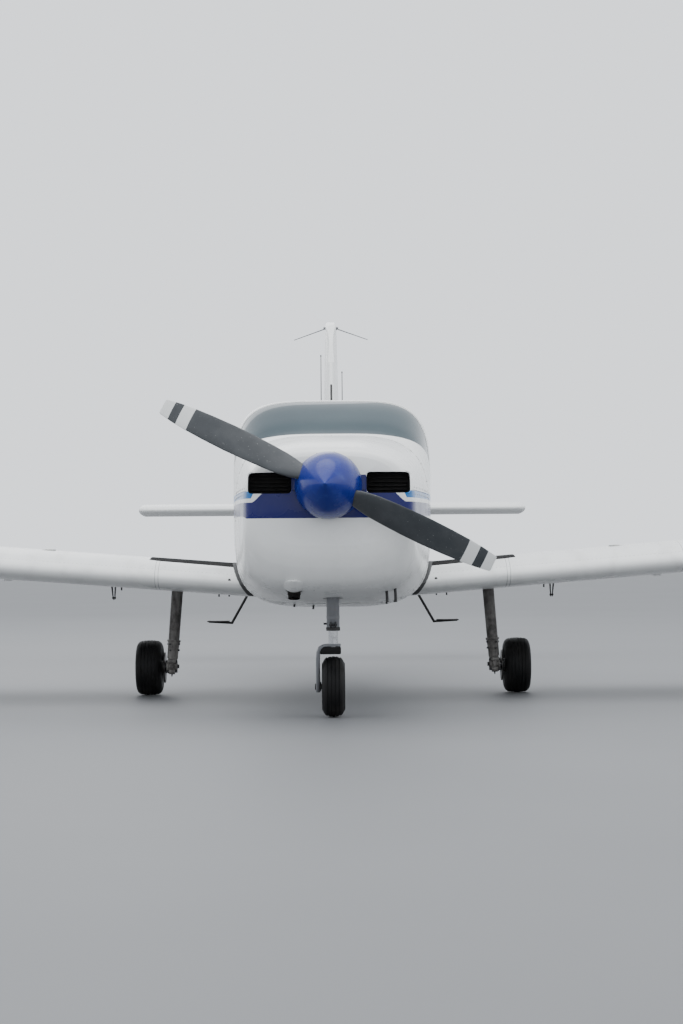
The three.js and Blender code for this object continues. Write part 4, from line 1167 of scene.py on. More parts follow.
fin = fin_form("fin_skin", (-0.42, 0.2, 0.6, 0.9, 1.0, 1.08, 1.14, 1.20, 1.26, 1.32, 1.38, 1.6),
               lambda le, te, t: foil_ring(le, te, t, 0, 30))
carve(fin, fin_form("rudder cove", (-0.42, 1.6), lambda le, te, t: cove_ring(le, te, t, 0, 0, 34, 34)))
rings = []
for s, z0, z1, w in ((4.9, 1.52, 1.604, 0.006), (5.1, 1.50, 1.624, 0.011), (5.35, 1.48, 1.666, 0.016),
                     (5.65, 1.46, 1.78, 0.022), (5.9, 1.44, 1.945, 0.026)):
    rings.append([(w * math.cos(q), aft(s), z0 + (z1 - z0) * (0.5 + 0.5 * math.sin(q))) for q in around(24)])
fillet = lofted("fillet", rings)
carve(fin, fillet, how="UNION")
top_edge = [(4.6, 1.2), (7.69, 1.2), (7.69, 2.81), (7.2, 2.81), (7.0, 2.803), (6.8, 2.790), (6.70, 2.778),
            (6.60, 2.764), (6.52, 2.747), (6.46, 2.725), (6.41, 2.696), (6.36, 2.660), (6.32, 2.618),
            (6.28, 2.565), (6.24, 2.490), (6.20, 2.41), (4.6, 2.41)]


def fin_limit(name):
    """The outline seen from the side, with a rounded cap along its top."""
    cap = side_slab(name, [(6.18, 2.30), (7.69, 2.30)] + top_edge[2:-1], -0.0455, 0.0455)
    soften(cap, 0.026, 5, 50)
    below = [(4.6, 1.2), (7.69, 1.2), (7.69, 2.696)] + top_edge[10:]
    return carve(cap, side_slab("fin below cap", below, -0.2, 0.2), how="UNION")


carve(fin, fin_limit("fin top"), how="INTERSECT")
aerial_place = (aft(6.60), 2.72)
carve(fin, body_room(4.7, 7.1),
      rod("aerial bore", (-0.12, *aerial_place), (0.12, *aerial_place), 0.0114, sides=24))
fit(fin, plain_paint, "airframe", "white_paint", "fin")
rudder = fin_form("rudder_skin", (-0.18, 0.5, 1.0, 1.25, 1.31, 1.37, 1.43, 1.6),
                  lambda le, te, t: flap_ring(le, te, t, 0, 0))
carve(rudder, fin_limit("rudder top"), brick("rudder keep", -0.2, 0.2, 6.0, 7.69, 1.462, 2.81),
      how="INTERSECT")
fit(rudder, plain_paint, "rudder", "white_paint", "rudder")

# Nose gear. A painted steel leg bolted to the firewall, a chromed sliding tube and a one-sided forged
# fork that steers, with torque links behind that keep the two in line.
leg_paint, shader = new_material("gear paint", 0.38, coat=0.3, coat_rough=0.2)
at = place(shader)
colour = mixed(ramp(noise(at, 6.0, 5), 0.3, 0.75), (0.15, 0.156, 0.168), (0.095, 0.099, 0.106))
chips = ramp(noise(at, 60.0, 5), 0.62, 0.7) * 0.7
finished(shader, mixed(chips, colour, (0.16, 0.14, 0.12)), ramp(noise(at, 20.0), 0.3, 0.7, 0.3, 0.55))
raised(shader, noise(at, 220.0, 3), 0.12, 0.0006)
chrome, shader = new_material("chromed tube", 0.07, metal=1.0)
at = place(shader)
finished(shader, mixed(ramp(noise(at, 12.0, 6, stretch=(1, 1, 0.2)), 0.45, 0.75), (0.8, 0.81, 0.83),
                       (0.5, 0.5, 0.5)), ramp(noise(at, 40.0), 0.3, 0.7, 0.05, 0.16))
black_rubber = speckled("black rubber", 0.75, 25.0, (0.012, 0.012, 0.013), (0.045, 0.044, 0.042), 5,
                        bump=(300.0, 2, 0.3, 0.0005))
tyre_rubber, shader = new_material("tyre rubber", 0.82, specular=0.22)
at = place(shader)
dust = ramp(noise(at, 9.0, 6), 0.42, 0.75)
finished(shader, mixed(dust * 0.8, (0.004, 0.004, 0.0045), (0.018, 0.017, 0.016)),
         ramp(dust, 0.0, 1.0, 0.6, 0.95))
raised(shader, noise(at, 260.0, 3), 0.25, 0.0006)
leg_at = 0.905
nose_axle = (aft(0.95), 0.165)
leg = rod("nose_leg_tube", (0, aft(leg_at), 0.474), (0, aft(leg_at), 0.86), 0.035, sides=64, bevel=0.002)
carve(leg, rod("leg bore", (0, aft(leg_at), 0.40), (0, aft(leg_at), 0.64), 0.0305, sides=64))
carve(leg, brick("beam", -0.03, 0.03, leg_at + 0.02, 1.3517, 0.78, 0.85, 0.006), how="UNION")
fit(leg, leg_paint, "airframe", "leg", "nose_leg")
ring = spun("leg_gland", [(-0.008, 0.0285), (-0.008, 0.0372), (0.004, 0.0385), (0.012, 0.0372),
                          (0.012, 0.0352), (-0.002, 0.0352), (-0.004, 0.0285)], (0, aft(leg_at), 0.478),
            (0, 0, 1), 64)
fit(ring, black_rubber, "airframe", "trim")
lugs = []
for x in (-0.0145, 0.0145):
    lugs.append(brick("lug", x - 0.0035, x + 0.0035, leg_at - 0.054, leg_at - 0.030, 0.487, 0.520, 0.002))
pin_at = aft(leg_at - 0.045)
lugs.append(rod("lug pin", (-0.021, pin_at, 0.503), (0.021, pin_at, 0.503), 0.005, sides=12))
lugs.append(rod("stop bolt", (-0.052, aft(leg_at), 0.508), (-0.032, aft(leg_at), 0.508), 0.006, sides=6,
                bevel=0.001))
fit(joined("leg_lugs", *lugs), black_screw, "airframe", "steel")

fork_tube = rod("nose_tube", (0, aft(leg_at), 0.375), (0, aft(leg_at), 0.60), 0.0254, sides=64)
fit(fork_tube, chrome, "nose_fork", "steel")
path = [(0.040, 0.390), (0.02, 0.392), (-0.03, 0.392), (-0.055, 0.388), (-0.073, 0.376), (-0.0815, 0.354),
        (-0.0838, 0.31), (-0.0838, 0.25), (-0.0838, 0.20), (-0.0838, 0.165), (-0.0838, 0.135)]
widths = [0.026, 0.030, 0.032, 0.032, 0.032, 0.032, 0.033, 0.036, 0.040, 0.042, 0.026]
rings = []
points = [Vector((x, 0, z)) for x, z in path]
for i, p in enumerate(points):
    along = (points[min(i + 1, len(points) - 1)] - points[max(i - 1, 0)]).normalized()
    normal = Vector((-along.z, 0, along.x))
    shift = 0.045 * float(np.clip((0.36 - p.z) / 0.20, 0, 1))
    ring = []
    for q in around(40):
        c, d = math.cos(q), math.sin(q)
        across = widths[i] * math.copysign(abs(c) ** 0.55, c)
        deep = (0.0088 if i < 4 else 0.0114) * math.copysign(abs(d) ** 0.55, d)
        spot = p + normal * deep
        ring.append((spot.x, aft(leg_at + shift) + across, spot.z))
    rings.append(ring)
fit(lofted("nose_fork_arm", rings), leg_paint, "nose_fork", "leg", "nose_fork", angle=40)
# Fork crown: a near-black block in tyre rubber under the fork's arch, painted shade of the arch's underside.
crown = front_slab("fork crown", [(0.042, 0.343), (0.042, 0.383), (-0.058, 0.383), (-0.070, 0.366),
                                  (-0.072, 0.343)], leg_at - 0.030, leg_at + 0.030, 0.008)
soften(crown, 0.002)
fit(joined("fork_crown", crown), tyre_rubber, "nose_fork", "trim")
axle = rod("axle", (-0.100, *nose_axle), (0.056, *nose_axle), 0.0145, sides=40)
nut = rod("axle nut", (-0.101, *nose_axle), (-0.094, *nose_axle), 0.019, sides=6, bevel=0.002)
washer = rod("washer", (-0.079, *nose_axle), (-0.0665, *nose_axle), 0.026, sides=32, bevel=0.001)
cap = rod("axle cap", (0.0475, *nose_axle), (0.0575, *nose_axle), 0.0195, sides=6, bevel=0.002)
fit(joined("nose_axle", axle, nut, washer, cap), black_screw, "nose_fork", "steel")
collar = spun("steering_collar", [(0.0, 0.0353), (0.0, 0.0364), (0.016, 0.0364), (0.016, 0.0353)],
              (0, aft(leg_at), 0.534), (0, 0, 1), 64)
links = [collar]
for x in (-0.016, 0.016):
    upper = [(0.036, 0.536), (0.036, 0.548), (0.112, 0.462), (0.104, 0.452)]
    lower = [(0.028, 0.372), (0.028, 0.386), (0.104, 0.464), (0.112, 0.454)]
    for edge, shift in ((upper, x), (lower, x * 0.6)):
        corners = [(leg_at + s, z) for s, z in edge]
        links.append(side_slab("link", corners, shift - 0.004, shift + 0.004))
links.append(rod("link pin", (-0.024, aft(leg_at + 0.107), 0.458), (0.024, aft(leg_at + 0.107), 0.458), 0.006,
                 sides=16))
fit(joined("scissor_links", *links), leg_paint, "nose_fork", "leg")

# Wheels. Ribbed rubber tyres, dusty at the edges, on cast hubs in two halves that a ring of bolts
# holds together, with a brake disc inside each main hub.
rim_paint, shader = new_material("wheel paint", 0.4, metal=0.25)
at = place(shader)
grime = ramp(noise(at, 16.0, 5), 0.4, 0.75)
wide = abs(split(at)[0])
disc = (wide > 1.06) * (wide < 1.0745)
colour = mixed(grime, (0.26, 0.265, 0.27), (0.07, 0.062, 0.054))
finished(shader, mixed(disc, colour, (0.03, 0.026, 0.024)), ramp(grime, 0.0, 1.0, 0.32, 0.7))


def tyre_profile(w, rim, radius, grooves):
    """A tyre's section, half as wide as w, with a step down and up again for each groove."""
    round_off = 1.55 if w < 0.07 else 1.0
    side_wall = [(0.60 * w, rim + 0.0006), (0.74 * w, rim + 0.003), (0.86 * w, rim + 0.013),
                 (0.95 * w, rim + 0.028), (1.0 * w, (radius + rim) / 2 + 0.002),
                 (0.985 * w, radius - 0.0375), (0.95 * w, radius - 0.0285 * round_off ** 0.5),
                 (0.90 * w, radius - 0.020 * round_off), (0.83 * w, radius - 0.0135 * round_off),
                 (0.74 * w, radius - 0.0085 * round_off), (0.66 * w, radius - 0.0056 * round_off)]
    tread = []
    for g in grooves:
        crown = 0.0045 * round_off * (abs(g) / (0.6 * w)) ** 2
        tread += [(g + 0.0032, radius - crown), (g + 0.0024, radius - crown - 0.004),
                  (g - 0.0024, radius - crown - 0.004), (g - 0.0032, radius - crown)]
    return side_wall + tread + [(-a, r) for a, r in reversed(side_wall)]


def tyre_and_hub(name, body, centre, w, rim, radius, side, disc_in, disc_out, bolts, nodes):
    """One wheel: its tyre, half as wide as w, its hub with any brake disc, and the hub's bolts."""
    axis = (side, 0, 0)
    shares = (0.52, 0.26, 0.0, -0.26, -0.52) if w > 0.07 else (0.5, 0.17, -0.17, -0.5)
    grooves = [g * w for g in shares]
    tyre = spun(name + "_tyre_ribbed", tyre_profile(w, rim, radius, grooves), centre, axis, 112)
    fit(tyre, tyre_rubber, body, "tyre", nodes[0], angle=28)
    outer_face = [(0.72 * w, 0.022), (0.72 * w, 0.030), (0.70 * w, 0.034), (0.60 * w, 0.037),
                  (0.42 * w, 0.042), (0.36 * w, 0.050), (0.36 * w, rim - 0.018), (0.44 * w, rim - 0.009),
                  (0.56 * w, rim - 0.007), (0.585 * w, rim - 0.004), (0.585 * w, rim)]
    inner_face = [(-0.585 * w, rim), (-0.585 * w, rim - 0.004), (-0.5 * w, rim - 0.010), (-0.44 * w, 0.052),
                  (-0.46 * w, 0.044)]
    if disc_in:
        inner_face += [(disc_out, 0.042), (disc_out, 0.0955), (disc_out - 0.0008, 0.098),
                       (disc_in + 0.0008, 0.098), (disc_in, 0.0955), (disc_in, 0.022)]
    else:
        inner_face += [(-0.7 * w, 0.038), (-0.7 * w, 0.022)]
    hub = spun(name + "_hub_cast", outer_face + inner_face, centre, axis, 72)
    heads = []
    for count, circle, start, low, high, radius, sides, bevel in (
            (bolts, 0.054, 0, 0.34 * w, 0.36 * w + 0.006, 0.0062, 6, 0.0008),
            (3, 0.029, 0.6, 0.70 * w, 0.72 * w + 0.003, 0.003, 12, 0.0)):
        for k in range(count):
            q = 2 * math.pi * k / count + start
            y, z = centre[1] + circle * math.cos(q), centre[2] + circle * math.sin(q)
            heads.append(rod("bolt", (centre[0] + side * low, y, z), (centre[0] + side * high, y, z), radius,
                             sides=sides, bevel=bevel))
    fit(hub, rim_paint, body, "rim", nodes[1])
    fit(joined(name + "_hub_bolts", *heads), stud_metal, body, "steel")


tyre_and_hub("nose", "nose_wheel", (0, *nose_axle), 0.063, 0.070, 0.165, 1, 0, 0, 6,
             ("nose_tyre", "nose_hub"))

# Main gear. A weathered steel leg ends in a forged pivot; a trailing arm carries the axle and brake,
# and a shock strut with a chromed rod stands between the arm and the wing.
worn_steel, shader = new_material("weathered gear steel", 0.55, metal=0.25)
at = place(shader)
patch = ramp(noise(at, 11.0, 7, 0.65), 0.38, 0.66)
streaks = ramp(noise(at, 40.0, 6, stretch=(1, 1, 0.12)), 0.45, 0.7)
colour = mixed(patch, (0.125, 0.118, 0.112), (0.045, 0.041, 0.038))
colour = mixed(streaks * 0.55, colour, (0.24, 0.23, 0.215))
finished(shader, colour, ramp(noise(at, 50.0), 0.3, 0.7, 0.42, 0.75))
raised(shader, noise(at, 130.0, 5), 0.35, 0.0012)


def under_wing(side):
    """The inner wing's form, a little lowered, to cut legs and struts off just below its skin."""
    ring = foil_ring(0, chord, thick, camber)
    return wing_sweep("under wing", [(0.45, ring), (2.2, ring)], side, 0.0004)


def lamp_glass(name, front, length, wide, high, power):
    """A small egg-shaped lamp glass that runs back from a place at its front."""
    rings = []
    for t in (0.03, 0.1, 0.2, 0.35, 0.5, 0.65, 0.8, 0.92, 0.98):
        swell = math.sin(math.pi * t) ** power
        rings.append([(front[0] + wide * swell * math.cos(q), front[1] + length * t,
                       front[2] + high * swell * math.sin(q)) for q in around(24)])
    return lofted(name, rings)


leg_station, pivot, main_axle = 2.72, (2.722, 0.190), (2.91, 0.174)
for side, word in both_sides:
    def at_side(x, station, z):
        return side * x, aft(station), z

    def side_rod(name, start, end, *sizes, **more):
        """A rod between two places, each given as distance out, station and height."""
        return rod(name, at_side(*start), at_side(*end), *sizes, **more)

    def on_leg(name, x0, z0, x1, z1, *sizes):
        """A rod that lies in the leg's own plane, as its tube, flange and collars do."""
        return side_rod(name, (x0, leg_station, z0), (x1, leg_station, z1), *sizes)

    leg = on_leg("main_leg_tube_" + word, 0.970, 0.725, 1.008, 0.240, 0.036, 0.034, 56)
    cuff = on_leg("cuff", 0.9985, 0.346, 1.006, 0.256, 0.0385, 0.031, 48, 0.003)
    flange = on_leg("flange", 0.9982, 0.356, 0.9990, 0.344, 0.0425, 0.0425, 48, 0.002)
    neck = on_leg("neck", 1.005, 0.270, 1.010, 0.185, 0.031, 0.028, 40, 0.003)
    eye = turned("eye", [(0.0, 0.0), (0.0, 0.030), (0.003, 0.034), (0.013, 0.034), (0.016, 0.029),
                         (0.021, 0.029), (0.024, 0.039), (0.027, 0.040), (0.041, 0.040), (0.044, 0.038),
                         (0.047, 0.031), (0.052, 0.031), (0.055, 0.036), (0.065, 0.036), (0.068, 0.032),
                         (0.068, 0.0)], at_side(0.977, *pivot), (side, 0, 0), 48)
    lobe = side_rod("lobe", (0.985, 2.700, 0.222), (1.037, 2.700, 0.222), 0.017, sides=32, bevel=0.003)
    foot = side_rod("foot", (0.992, 2.706, 0.160), (1.030, 2.706, 0.160), 0.019, sides=32, bevel=0.003)
    carve(leg, flange, cuff, neck, eye, lobe, foot, how="UNION")
    carve(leg, under_wing(side))
    fit(leg, worn_steel, "airframe", "leg", "main_leg_" + word)
    bolts = [side_rod("pivot bolt", (0.966, *pivot), (1.056, *pivot), 0.014, sides=6, bevel=0.002)]
    for k in range(4):
        q = math.pi / 2 * k + 0.5
        for z, r in ((0.330, 0.036), (0.292, 0.033)):
            ends = [at_side(1.0 + reach * math.cos(q), leg_station + reach * math.sin(q), z)
                    for reach in (r, r + 0.009)]
            bolts.append(rod("cuff bolt", *ends, 0.006, sides=6))
    for z, r in ((0.222, 0.009), (0.160, 0.010)):
        bolts.append(side_rod("pin nut", (0.976, 2.703, z), (1.048, 2.703, z), r, sides=6, bevel=0.0015))
    bolts.append(side_rod("grease nipple", (1.010, 2.700, 0.146), (1.011, 2.692, 0.128), 0.006, 0.003, 12))
    fit(joined("leg_bolts_" + word, *bolts), black_screw, "airframe", "steel")

    arm = side_slab("trailing_arm_" + word, [(2.766, 0.150), (2.766, 0.226), (2.80, 0.222), (2.86, 0.214),
                                             (2.925, 0.207), (2.950, 0.174), (2.925, 0.141), (2.86, 0.143)],
                    side * 0.996, side * 1.042, 0.016)
    pocket_edge = [(2.79, 0.172), (2.79, 0.205), (2.87, 0.196), (2.87, 0.164)]
    carve(arm, side_slab("arm pocket", pocket_edge, side * 1.033, side * 1.06, 0.010))
    soften(arm, 0.004)
    axle = side_rod("main axle", (1.02, *main_axle), (1.226, *main_axle), 0.015, sides=40)
    lower = side_rod("lower eye", (0.994, 2.866, 0.200), (1.046, 2.866, 0.200), 0.021, sides=32, bevel=0.002)
    carve(arm, axle, lower, how="UNION")
    fit(arm, worn_steel, "airframe", "leg", "main_arm_" + word)
    strut = side_rod("shock_body_" + word, (1.004, 2.832, 0.420), (0.988, 2.797, 0.690), 0.026, sides=40,
                     bevel=0.003)
    carve(strut, under_wing(side))
    fit(strut, worn_steel, "airframe", "leg")
    chrome_rod = side_rod("shock_rod_" + word, (1.017, 2.862, 0.208), (1.0035, 2.831, 0.430), 0.0135,
                          sides=32)
    fit(chrome_rod, chrome, "airframe", "steel")
    gland = side_rod("gland", (1.0055, 2.8355, 0.395), (1.0035, 2.831, 0.428), 0.021, sides=32, bevel=0.002)
    fit(joined("shock_gland_" + word, gland), black_rubber, "airframe", "trim")

    caliper = brick("caliper", side * 1.036, side * 1.0600, 2.963, 3.006, 0.132, 0.216, 0.005)
    bridge = brick("bridge", side * 1.040, side * 1.0795, 3.013, 3.034, 0.138, 0.210, 0.004)
    plate = brick("brake plate", side * 1.040, side * 1.048, 2.90, 3.03, 0.140, 0.208, 0.003)
    piston = [side_rod("piston", (1.024, 2.985, z), (1.040, 2.985, z), 0.014, sides=24, bevel=0.002)
              for z in (0.154, 0.194)]
    fit(joined("brake_caliper_" + word, caliper, bridge, plate, *piston), dark_metal, "airframe", "steel")
    route = [(1.030, 2.985, 0.214), (1.026, 2.975, 0.245), (1.020, 2.90, 0.285), (1.012, 2.79, 0.330),
             (1.004, 2.764, 0.38), (0.996, 2.762, 0.48), (0.986, 2.762, 0.58), (0.980, 2.762, 0.66)]
    hose = tube("brake_hose_" + word, [at_side(*spot) for spot in route], 0.0042, 8, 5)
    fit(hose, black_rubber, "airframe", "trim")
    tyre_and_hub("main_" + word, "main_wheel_" + word, at_side(1.165, *main_axle), 0.083, 0.080, 0.174, side,
                 -0.0995, -0.0915, 8, ("main_tyre_" + word, "main_hub_" + word))

    # Boarding step. A bent steel tube bolted under the fuselage, with a flat plate welded on its
    # end, all painted dark.
    strut = side_rod("boarding_step_" + word, (0.54, 3.40, 0.66), (0.668, 3.40, 0.434), 0.0085, sides=20)
    bar = side_rod("step bar", (0.664, 3.40, 0.438), (0.82, 3.40, 0.4475), 0.0075, sides=20)
    plate = brick("step plate", side * 0.682, side * 0.828, 3.352, 3.448, 0.4455, 0.4525, 0.003)
    step = carve(carve(strut, bar, plate, how="UNION"), body_room(3.0, 3.8))
    fit(step, dark_metal, "airframe", "leg", "step_" + word)

    # Hinge brackets. Pairs of folded sheet arms hang below the wing, riveted ahead of each flap and
    # aileron, with a bolt through their lower ends.
    brackets = []
    for v, foot, s0, s1 in ((1.39, 0.597, 2.78, 2.885), (2.88, 0.712, 2.78, 2.885),
                            (3.32, 0.775, 2.86, 2.94), (4.42, 0.862, 2.86, 2.94)):
        foot += 0.009
        x = on_wing(0.8, 0, v, side)[0]
        z = on_wing(0.8, -0.020, v, side)[2]
        edge = [(s0, z), (s1, z), (s1 - 0.004, foot + 0.012), (s1 - 0.018, foot), (s1 - 0.030, foot + 0.008)]
        for lean in (-1, 1):
            arm = side_slab("bracket", edge, -0.0022, 0.0022)
            high = get_vertices(arm)
            high[:, 0] += x + side * lean * (0.0045 + 0.0115 * (high[:, 2] - foot) / (z - foot))
            set_vertices(arm, high)
            brackets.append(arm)
        brackets.append(rod("bracket bolt", (x - 0.012, aft(s1 - 0.018), foot + 0.013),
                            (x + 0.012, aft(s1 - 0.018), foot + 0.013), 0.006, sides=16))
    fit(joined("hinge_brackets_" + word, *brackets), dark_metal, "airframe", "steel")

    # Wing fittings. A red or green lamp glass at the tip, a polished fuel cap, a vent hole at the
    # root and the tank drains below.
    lamp_colour = (0.42, 0.008, 0.006) if side > 0 else (0.006, 0.22, 0.05)
    lens, shader = new_material("tip lens " + word, 0.08)
    finished(shader, mixed(noise(place(shader), 60.0), lamp_colour, tuple(c * 0.6 for c in lamp_colour)))
    shader.inputs["Transmission Weight"].default_value = 0.35
    middle = Vector(on_wing(0.088, 0.010, 4.80, side))
    middle.y -= 0.055
    fit(lamp_glass("tip_lamp_" + word, middle, 0.10, 0.018, 0.016, 0.6), lens, "airframe", "glazing")
    here = Vector(on_wing(*wing_face(0.28, 1), 1.75, side))
    cap = rod("fuel cap", here - Vector((0, 0, 0.004)), here + Vector((0, 0, 0.003)), 0.045, sides=48,
              bevel=0.001)
    tab = rod("cap tab", here + Vector((-0.02, 0, 0.003)), here + Vector((0.02, 0, 0.003)), 0.004, sides=12)
    fit(joined("fuel_cap_" + word, cap, tab), handle_metal, "airframe", "steel")
    here = Vector(on_wing(*wing_face(0.0043, 1), 0.618, side))
    vent = rod("vent", here + Vector((0, -0.0015, 0)), here + Vector((0, 0.012, 0)), 0.0085, sides=24)
    fit(joined("wing_vents_" + word, vent), black_rubber, "airframe", "trim")
    drains = []
    for v, u in ((0.70, 0.50), (0.64, 0.56), (1.30, 0.45)):
        here = Vector(on_wing(*wing_face(u / chord, -1), v, side))
        drains.append(rod("drain", here + Vector((0, 0, 0.004)), here - Vector((0, -0.004, 0.026)), 0.005,
                          sides=12))
    fit(joined("wing_drains_" + word, *drains), black_screw, "airframe", "steel")

# Aerials, fin lamp, pitot head and drains. A plastic blade and two whips on rubber feet stand on the
# roof, two rods in a V on the fin, and small steel tubes end below the belly and the cowl.
blade = side_slab("blade_aerial", [(2.70, 1.825), (2.86, 1.825), (2.85, 1.953), (2.838, 1.96), (2.79, 1.96),
                                   (2.775, 1.95)], -0.007, 0.007)
soften(blade, 0.0045, 3, 60)
carve(blade, body_room(2.5, 3.0))
fit(blade, black_rubber, "airframe", "trim", "blade_antenna")
for word, x, top in (("left", 0.075, 2.150), ("right", -0.070, 2.265)):
    foot = turned("foot", [(0.0, 0.014), (0.03, 0.014), (0.055, 0.011), (0.07, 0.0085), (0.078, 0.0045)],
                  (x, aft(4.0), 1.70), (0, 0, 1), 32)
    whip = rod("whip", (x, aft(4.0), 1.765), (x, aft(4.06), top - 0.004), 0.0038, 0.0026, 12)
    tip = rod("whip tip", (x, aft(4.0595), top - 0.012), (x, aft(4.06), top), 0.0045, 0.0035, 12, 0.001)
    piece = carve(joined("whip_aerial_" + word, foot, whip, tip), body_room(3.7, 4.3))
    fit(piece, black_rubber, "airframe", "trim", "whip_antenna_" + word)
boss = rod("aerial boss", (-0.06, *aerial_place), (0.06, *aerial_place), 0.011, sides=32, bevel=0.002)
rods = [rod("aerial rod", (side * 0.045, aft(6.60), 2.716), (side * 0.30, aft(6.74), 2.640), 0.0045, 0.0030,
            12) for side in (1, -1)]
fit(joined("fin_aerial", boss, *rods), leg_paint, "airframe", "leg", "nav_antenna")
beacon = lamp_glass("fin_lamp", (0.030, aft(6.80), 2.735), 0.09, 0.020, 0.013, 0.55)
fit(beacon, seal_rubber, "airframe", "trim")
pitot_path = [(2.40, 0.84), (2.40, 0.78), (2.385, 0.752), (2.35, 0.745), (2.20, 0.745)]
pitot = tube("pitot", [(2.9, aft(s), z) for s, z in pitot_path], 0.0075, 16, 6)
fit(pitot, chrome, "airframe", "steel")
belly_bits = []
for x, station in ((-0.215, 1.42), (-0.11, 1.50), (0.30, 1.44), (0.345, 1.44), (-0.40, 1.9), (0.36, 2.6)):
    z = body_point(station, 270 + math.degrees(math.asin(x / 0.6)) * 0.9).z
    belly_bits.append(rod("belly drain", (x, aft(station), z + 0.006),
                          (x * 1.02, aft(station + 0.008), z - 0.024), 0.006, sides=12))
for x in (0.288, 0.333):
    z = body_point(0.72, 270 + math.degrees(math.asin(x / 0.6)) * 0.9).z
    belly_bits.append(tube("breather", [(x, aft(0.74), z + 0.03), (x, aft(0.73), z),
                                        (x * 1.004, aft(0.722), z - 0.03), (x * 1.008, aft(0.720), 0.626)],
                           0.0078, 16, 4))
fit(joined("belly_drains", *belly_bits), black_screw, "airframe", "steel")

# Rear bulkhead and carpet. Behind the bench a felt-covered sheet with four dark strips closes the
# luggage bay, and grey carpet lies on the floor, cut round the seats and the pedestal.
felt, shader = new_material("grey carpet", 0.95, specular=0.2)
at = place(shader)
weave = noise(at, 650.0, 2)
worn = ramp(noise(at, 5.0, 5), 0.4, 0.75)
colour = mixed(worn, (0.045, 0.047, 0.052), (0.1, 0.1, 0.098))
finished(shader, mixed(weave * 0.5, colour, (0.02, 0.02, 0.022)))
raised(shader, weave, 0.7, 0.0015)
bulkhead = carve(brick("rear_bulkhead_felt", -0.8, 0.8, 4.190, 4.205, 0.7005, 2.0),
                 body_form("bulkhead edge", 4.0, 4.24, 0.0355), how="INTERSECT")
fit(bulkhead, felt, "airframe", "upholstery", "rear_bulkhead")
strips = []
for k in range(4):
    z = 0.82 + 0.22 * k
    half = side_x(4.186, z) - 0.05
    strips.append(brick("felt strip", -half, half, 4.1865, 4.1905, z, z + 0.014, 0.0015))
fit(joined("bulkhead_strips", *strips), seal_rubber, "airframe", "trim")
carpet = carve(brick("cabin_carpet", -0.8, 0.8, 1.42, 4.18, 0.7012, 0.7052),
               body_form("carpet edge", 1.38, 4.22, 0.0365), how="INTERSECT")
for x0, x1, s0, s1 in ((0.1385, 0.4215, 2.2985, 2.7015), (-0.4215, -0.1385, 2.2985, 2.7015),
                       (-0.4015, 0.4015, 3.1385, 3.4815), (-0.0715, 0.0715, 1.7985, 2.1415)):
    carve(carpet, brick("seat gap", x0, x1, s0, s1, 0.6, 0.8))
fit(carpet, felt, "airframe", "upholstery")

# Instrument panel. A black crackle-painted sheet with round instruments, a radio stack, switches and
# a padded hood above; the pedestal with its levers stands in the middle.
panel_black, shader = new_material("crackle black", 0.7)
at = place(shader)
finished(shader, mixed(noise(at, 6.0, 4), (0.018, 0.019, 0.021), (0.034, 0.035, 0.037)))
raised(shader, noise(at, 480.0, 4, 0.7), 0.6, 0.0008)
lining_form = body_form("lining", 1.5, 2.0, 0.0355)
panel = carve(brick("instrument_board", -0.8, 0.8, 1.80, 1.855, 1.10, 1.50),
              twin(lining_form, "lining copy"), how="INTERSECT")
hood = carve(brick("hood", -0.8, 0.8, 1.59, 1.875, 1.489, 1.5195), twin(lining_form, "lining copy"),
             how="INTERSECT")
soften(hood, 0.004, 3)
bpy.data.objects.remove(lining_form)
pedestal = side_slab("pedestal", [(1.80, 0.7055), (2.14, 0.7055), (2.12, 0.90), (1.96, 1.11), (1.80, 1.11)],
                     -0.07, 0.07, 0.02)
soften(pedestal, 0.006, 3)
fit(joined("instrument_board", carve(panel, pedestal, how="UNION")), panel_black, "airframe", "trim",
    "instrument_panel")
fit(joined("panel_hood", hood), felt, "airframe", "upholstery")
dial_face, shader = new_material("dial faces", 0.35)
finished(shader, mixed(ramp(noise(place(shader), 170.0, 1), 0.57, 0.6), (0.008, 0.008, 0.009),
                       (0.42, 0.42, 0.38)))
bezels, faces, pointers = [], [], []
dials = [(-0.395 + 0.088 * i, 1.405 - 0.088 * j, 0.040) for i in range(3) for j in range(2)]
dials += [(0.40, 1.41, 0.030), (0.40, 1.335, 0.030), (0.33, 1.41, 0.030), (0.33, 1.335, 0.030),
          (-0.10, 1.22, 0.026), (-0.17, 1.22, 0.026), (0.22, 1.19, 0.024), (0.155, 1.19, 0.024)]
for i, (x, z, r) in enumerate(dials):
    bezels.append(spun("bezel", [(0.0, r), (0.0, r - 0.005), (0.0035, r - 0.005), (0.0055, r - 0.002),
                                 (0.0035, r)], (x, aft(1.855), z), (0, 1, 0), 40))
    faces.append(rod("dial", (x, aft(1.853), z), (x, aft(1.8558), z), r - 0.0048, sides=36))
    lean = Vector((math.cos(i * 1.7 + 0.6), 0, math.sin(i * 1.7 + 0.6)))
    base = Vector((x, aft(1.8565), z))
    pointers.append(rod("needle", base - lean * r * 0.2, base + lean * r * 0.72, 0.0014, 0.0006, 8))
radio = 0.085
for z0, z1 in ((1.40, 1.445), (1.345, 1.392), (1.29, 1.337), (1.235, 1.282)):
    bezels.append(brick("radio", radio - 0.08, radio + 0.08, 1.853, 1.862, z0, z1, 0.002))
    faces.append(brick("window", radio - 0.052, radio + 0.045, 1.8615, 1.8632, z0 + 0.014, z1 - 0.008,
                       0.0006))
    for x in (radio - 0.066, radio + 0.066):
        bezels.append(rod("knob", (x, aft(1.861), (z0 + z1) / 2), (x, aft(1.875), (z0 + z1) / 2), 0.0095,
                          0.008, 20, 0.001))
for k in range(8):
    x = -0.42 + 0.026 * k
    pointers.append(brick("switch", x - 0.006, x + 0.006, 1.854, 1.868, 1.148, 1.172, 0.0015))
z = 1.02
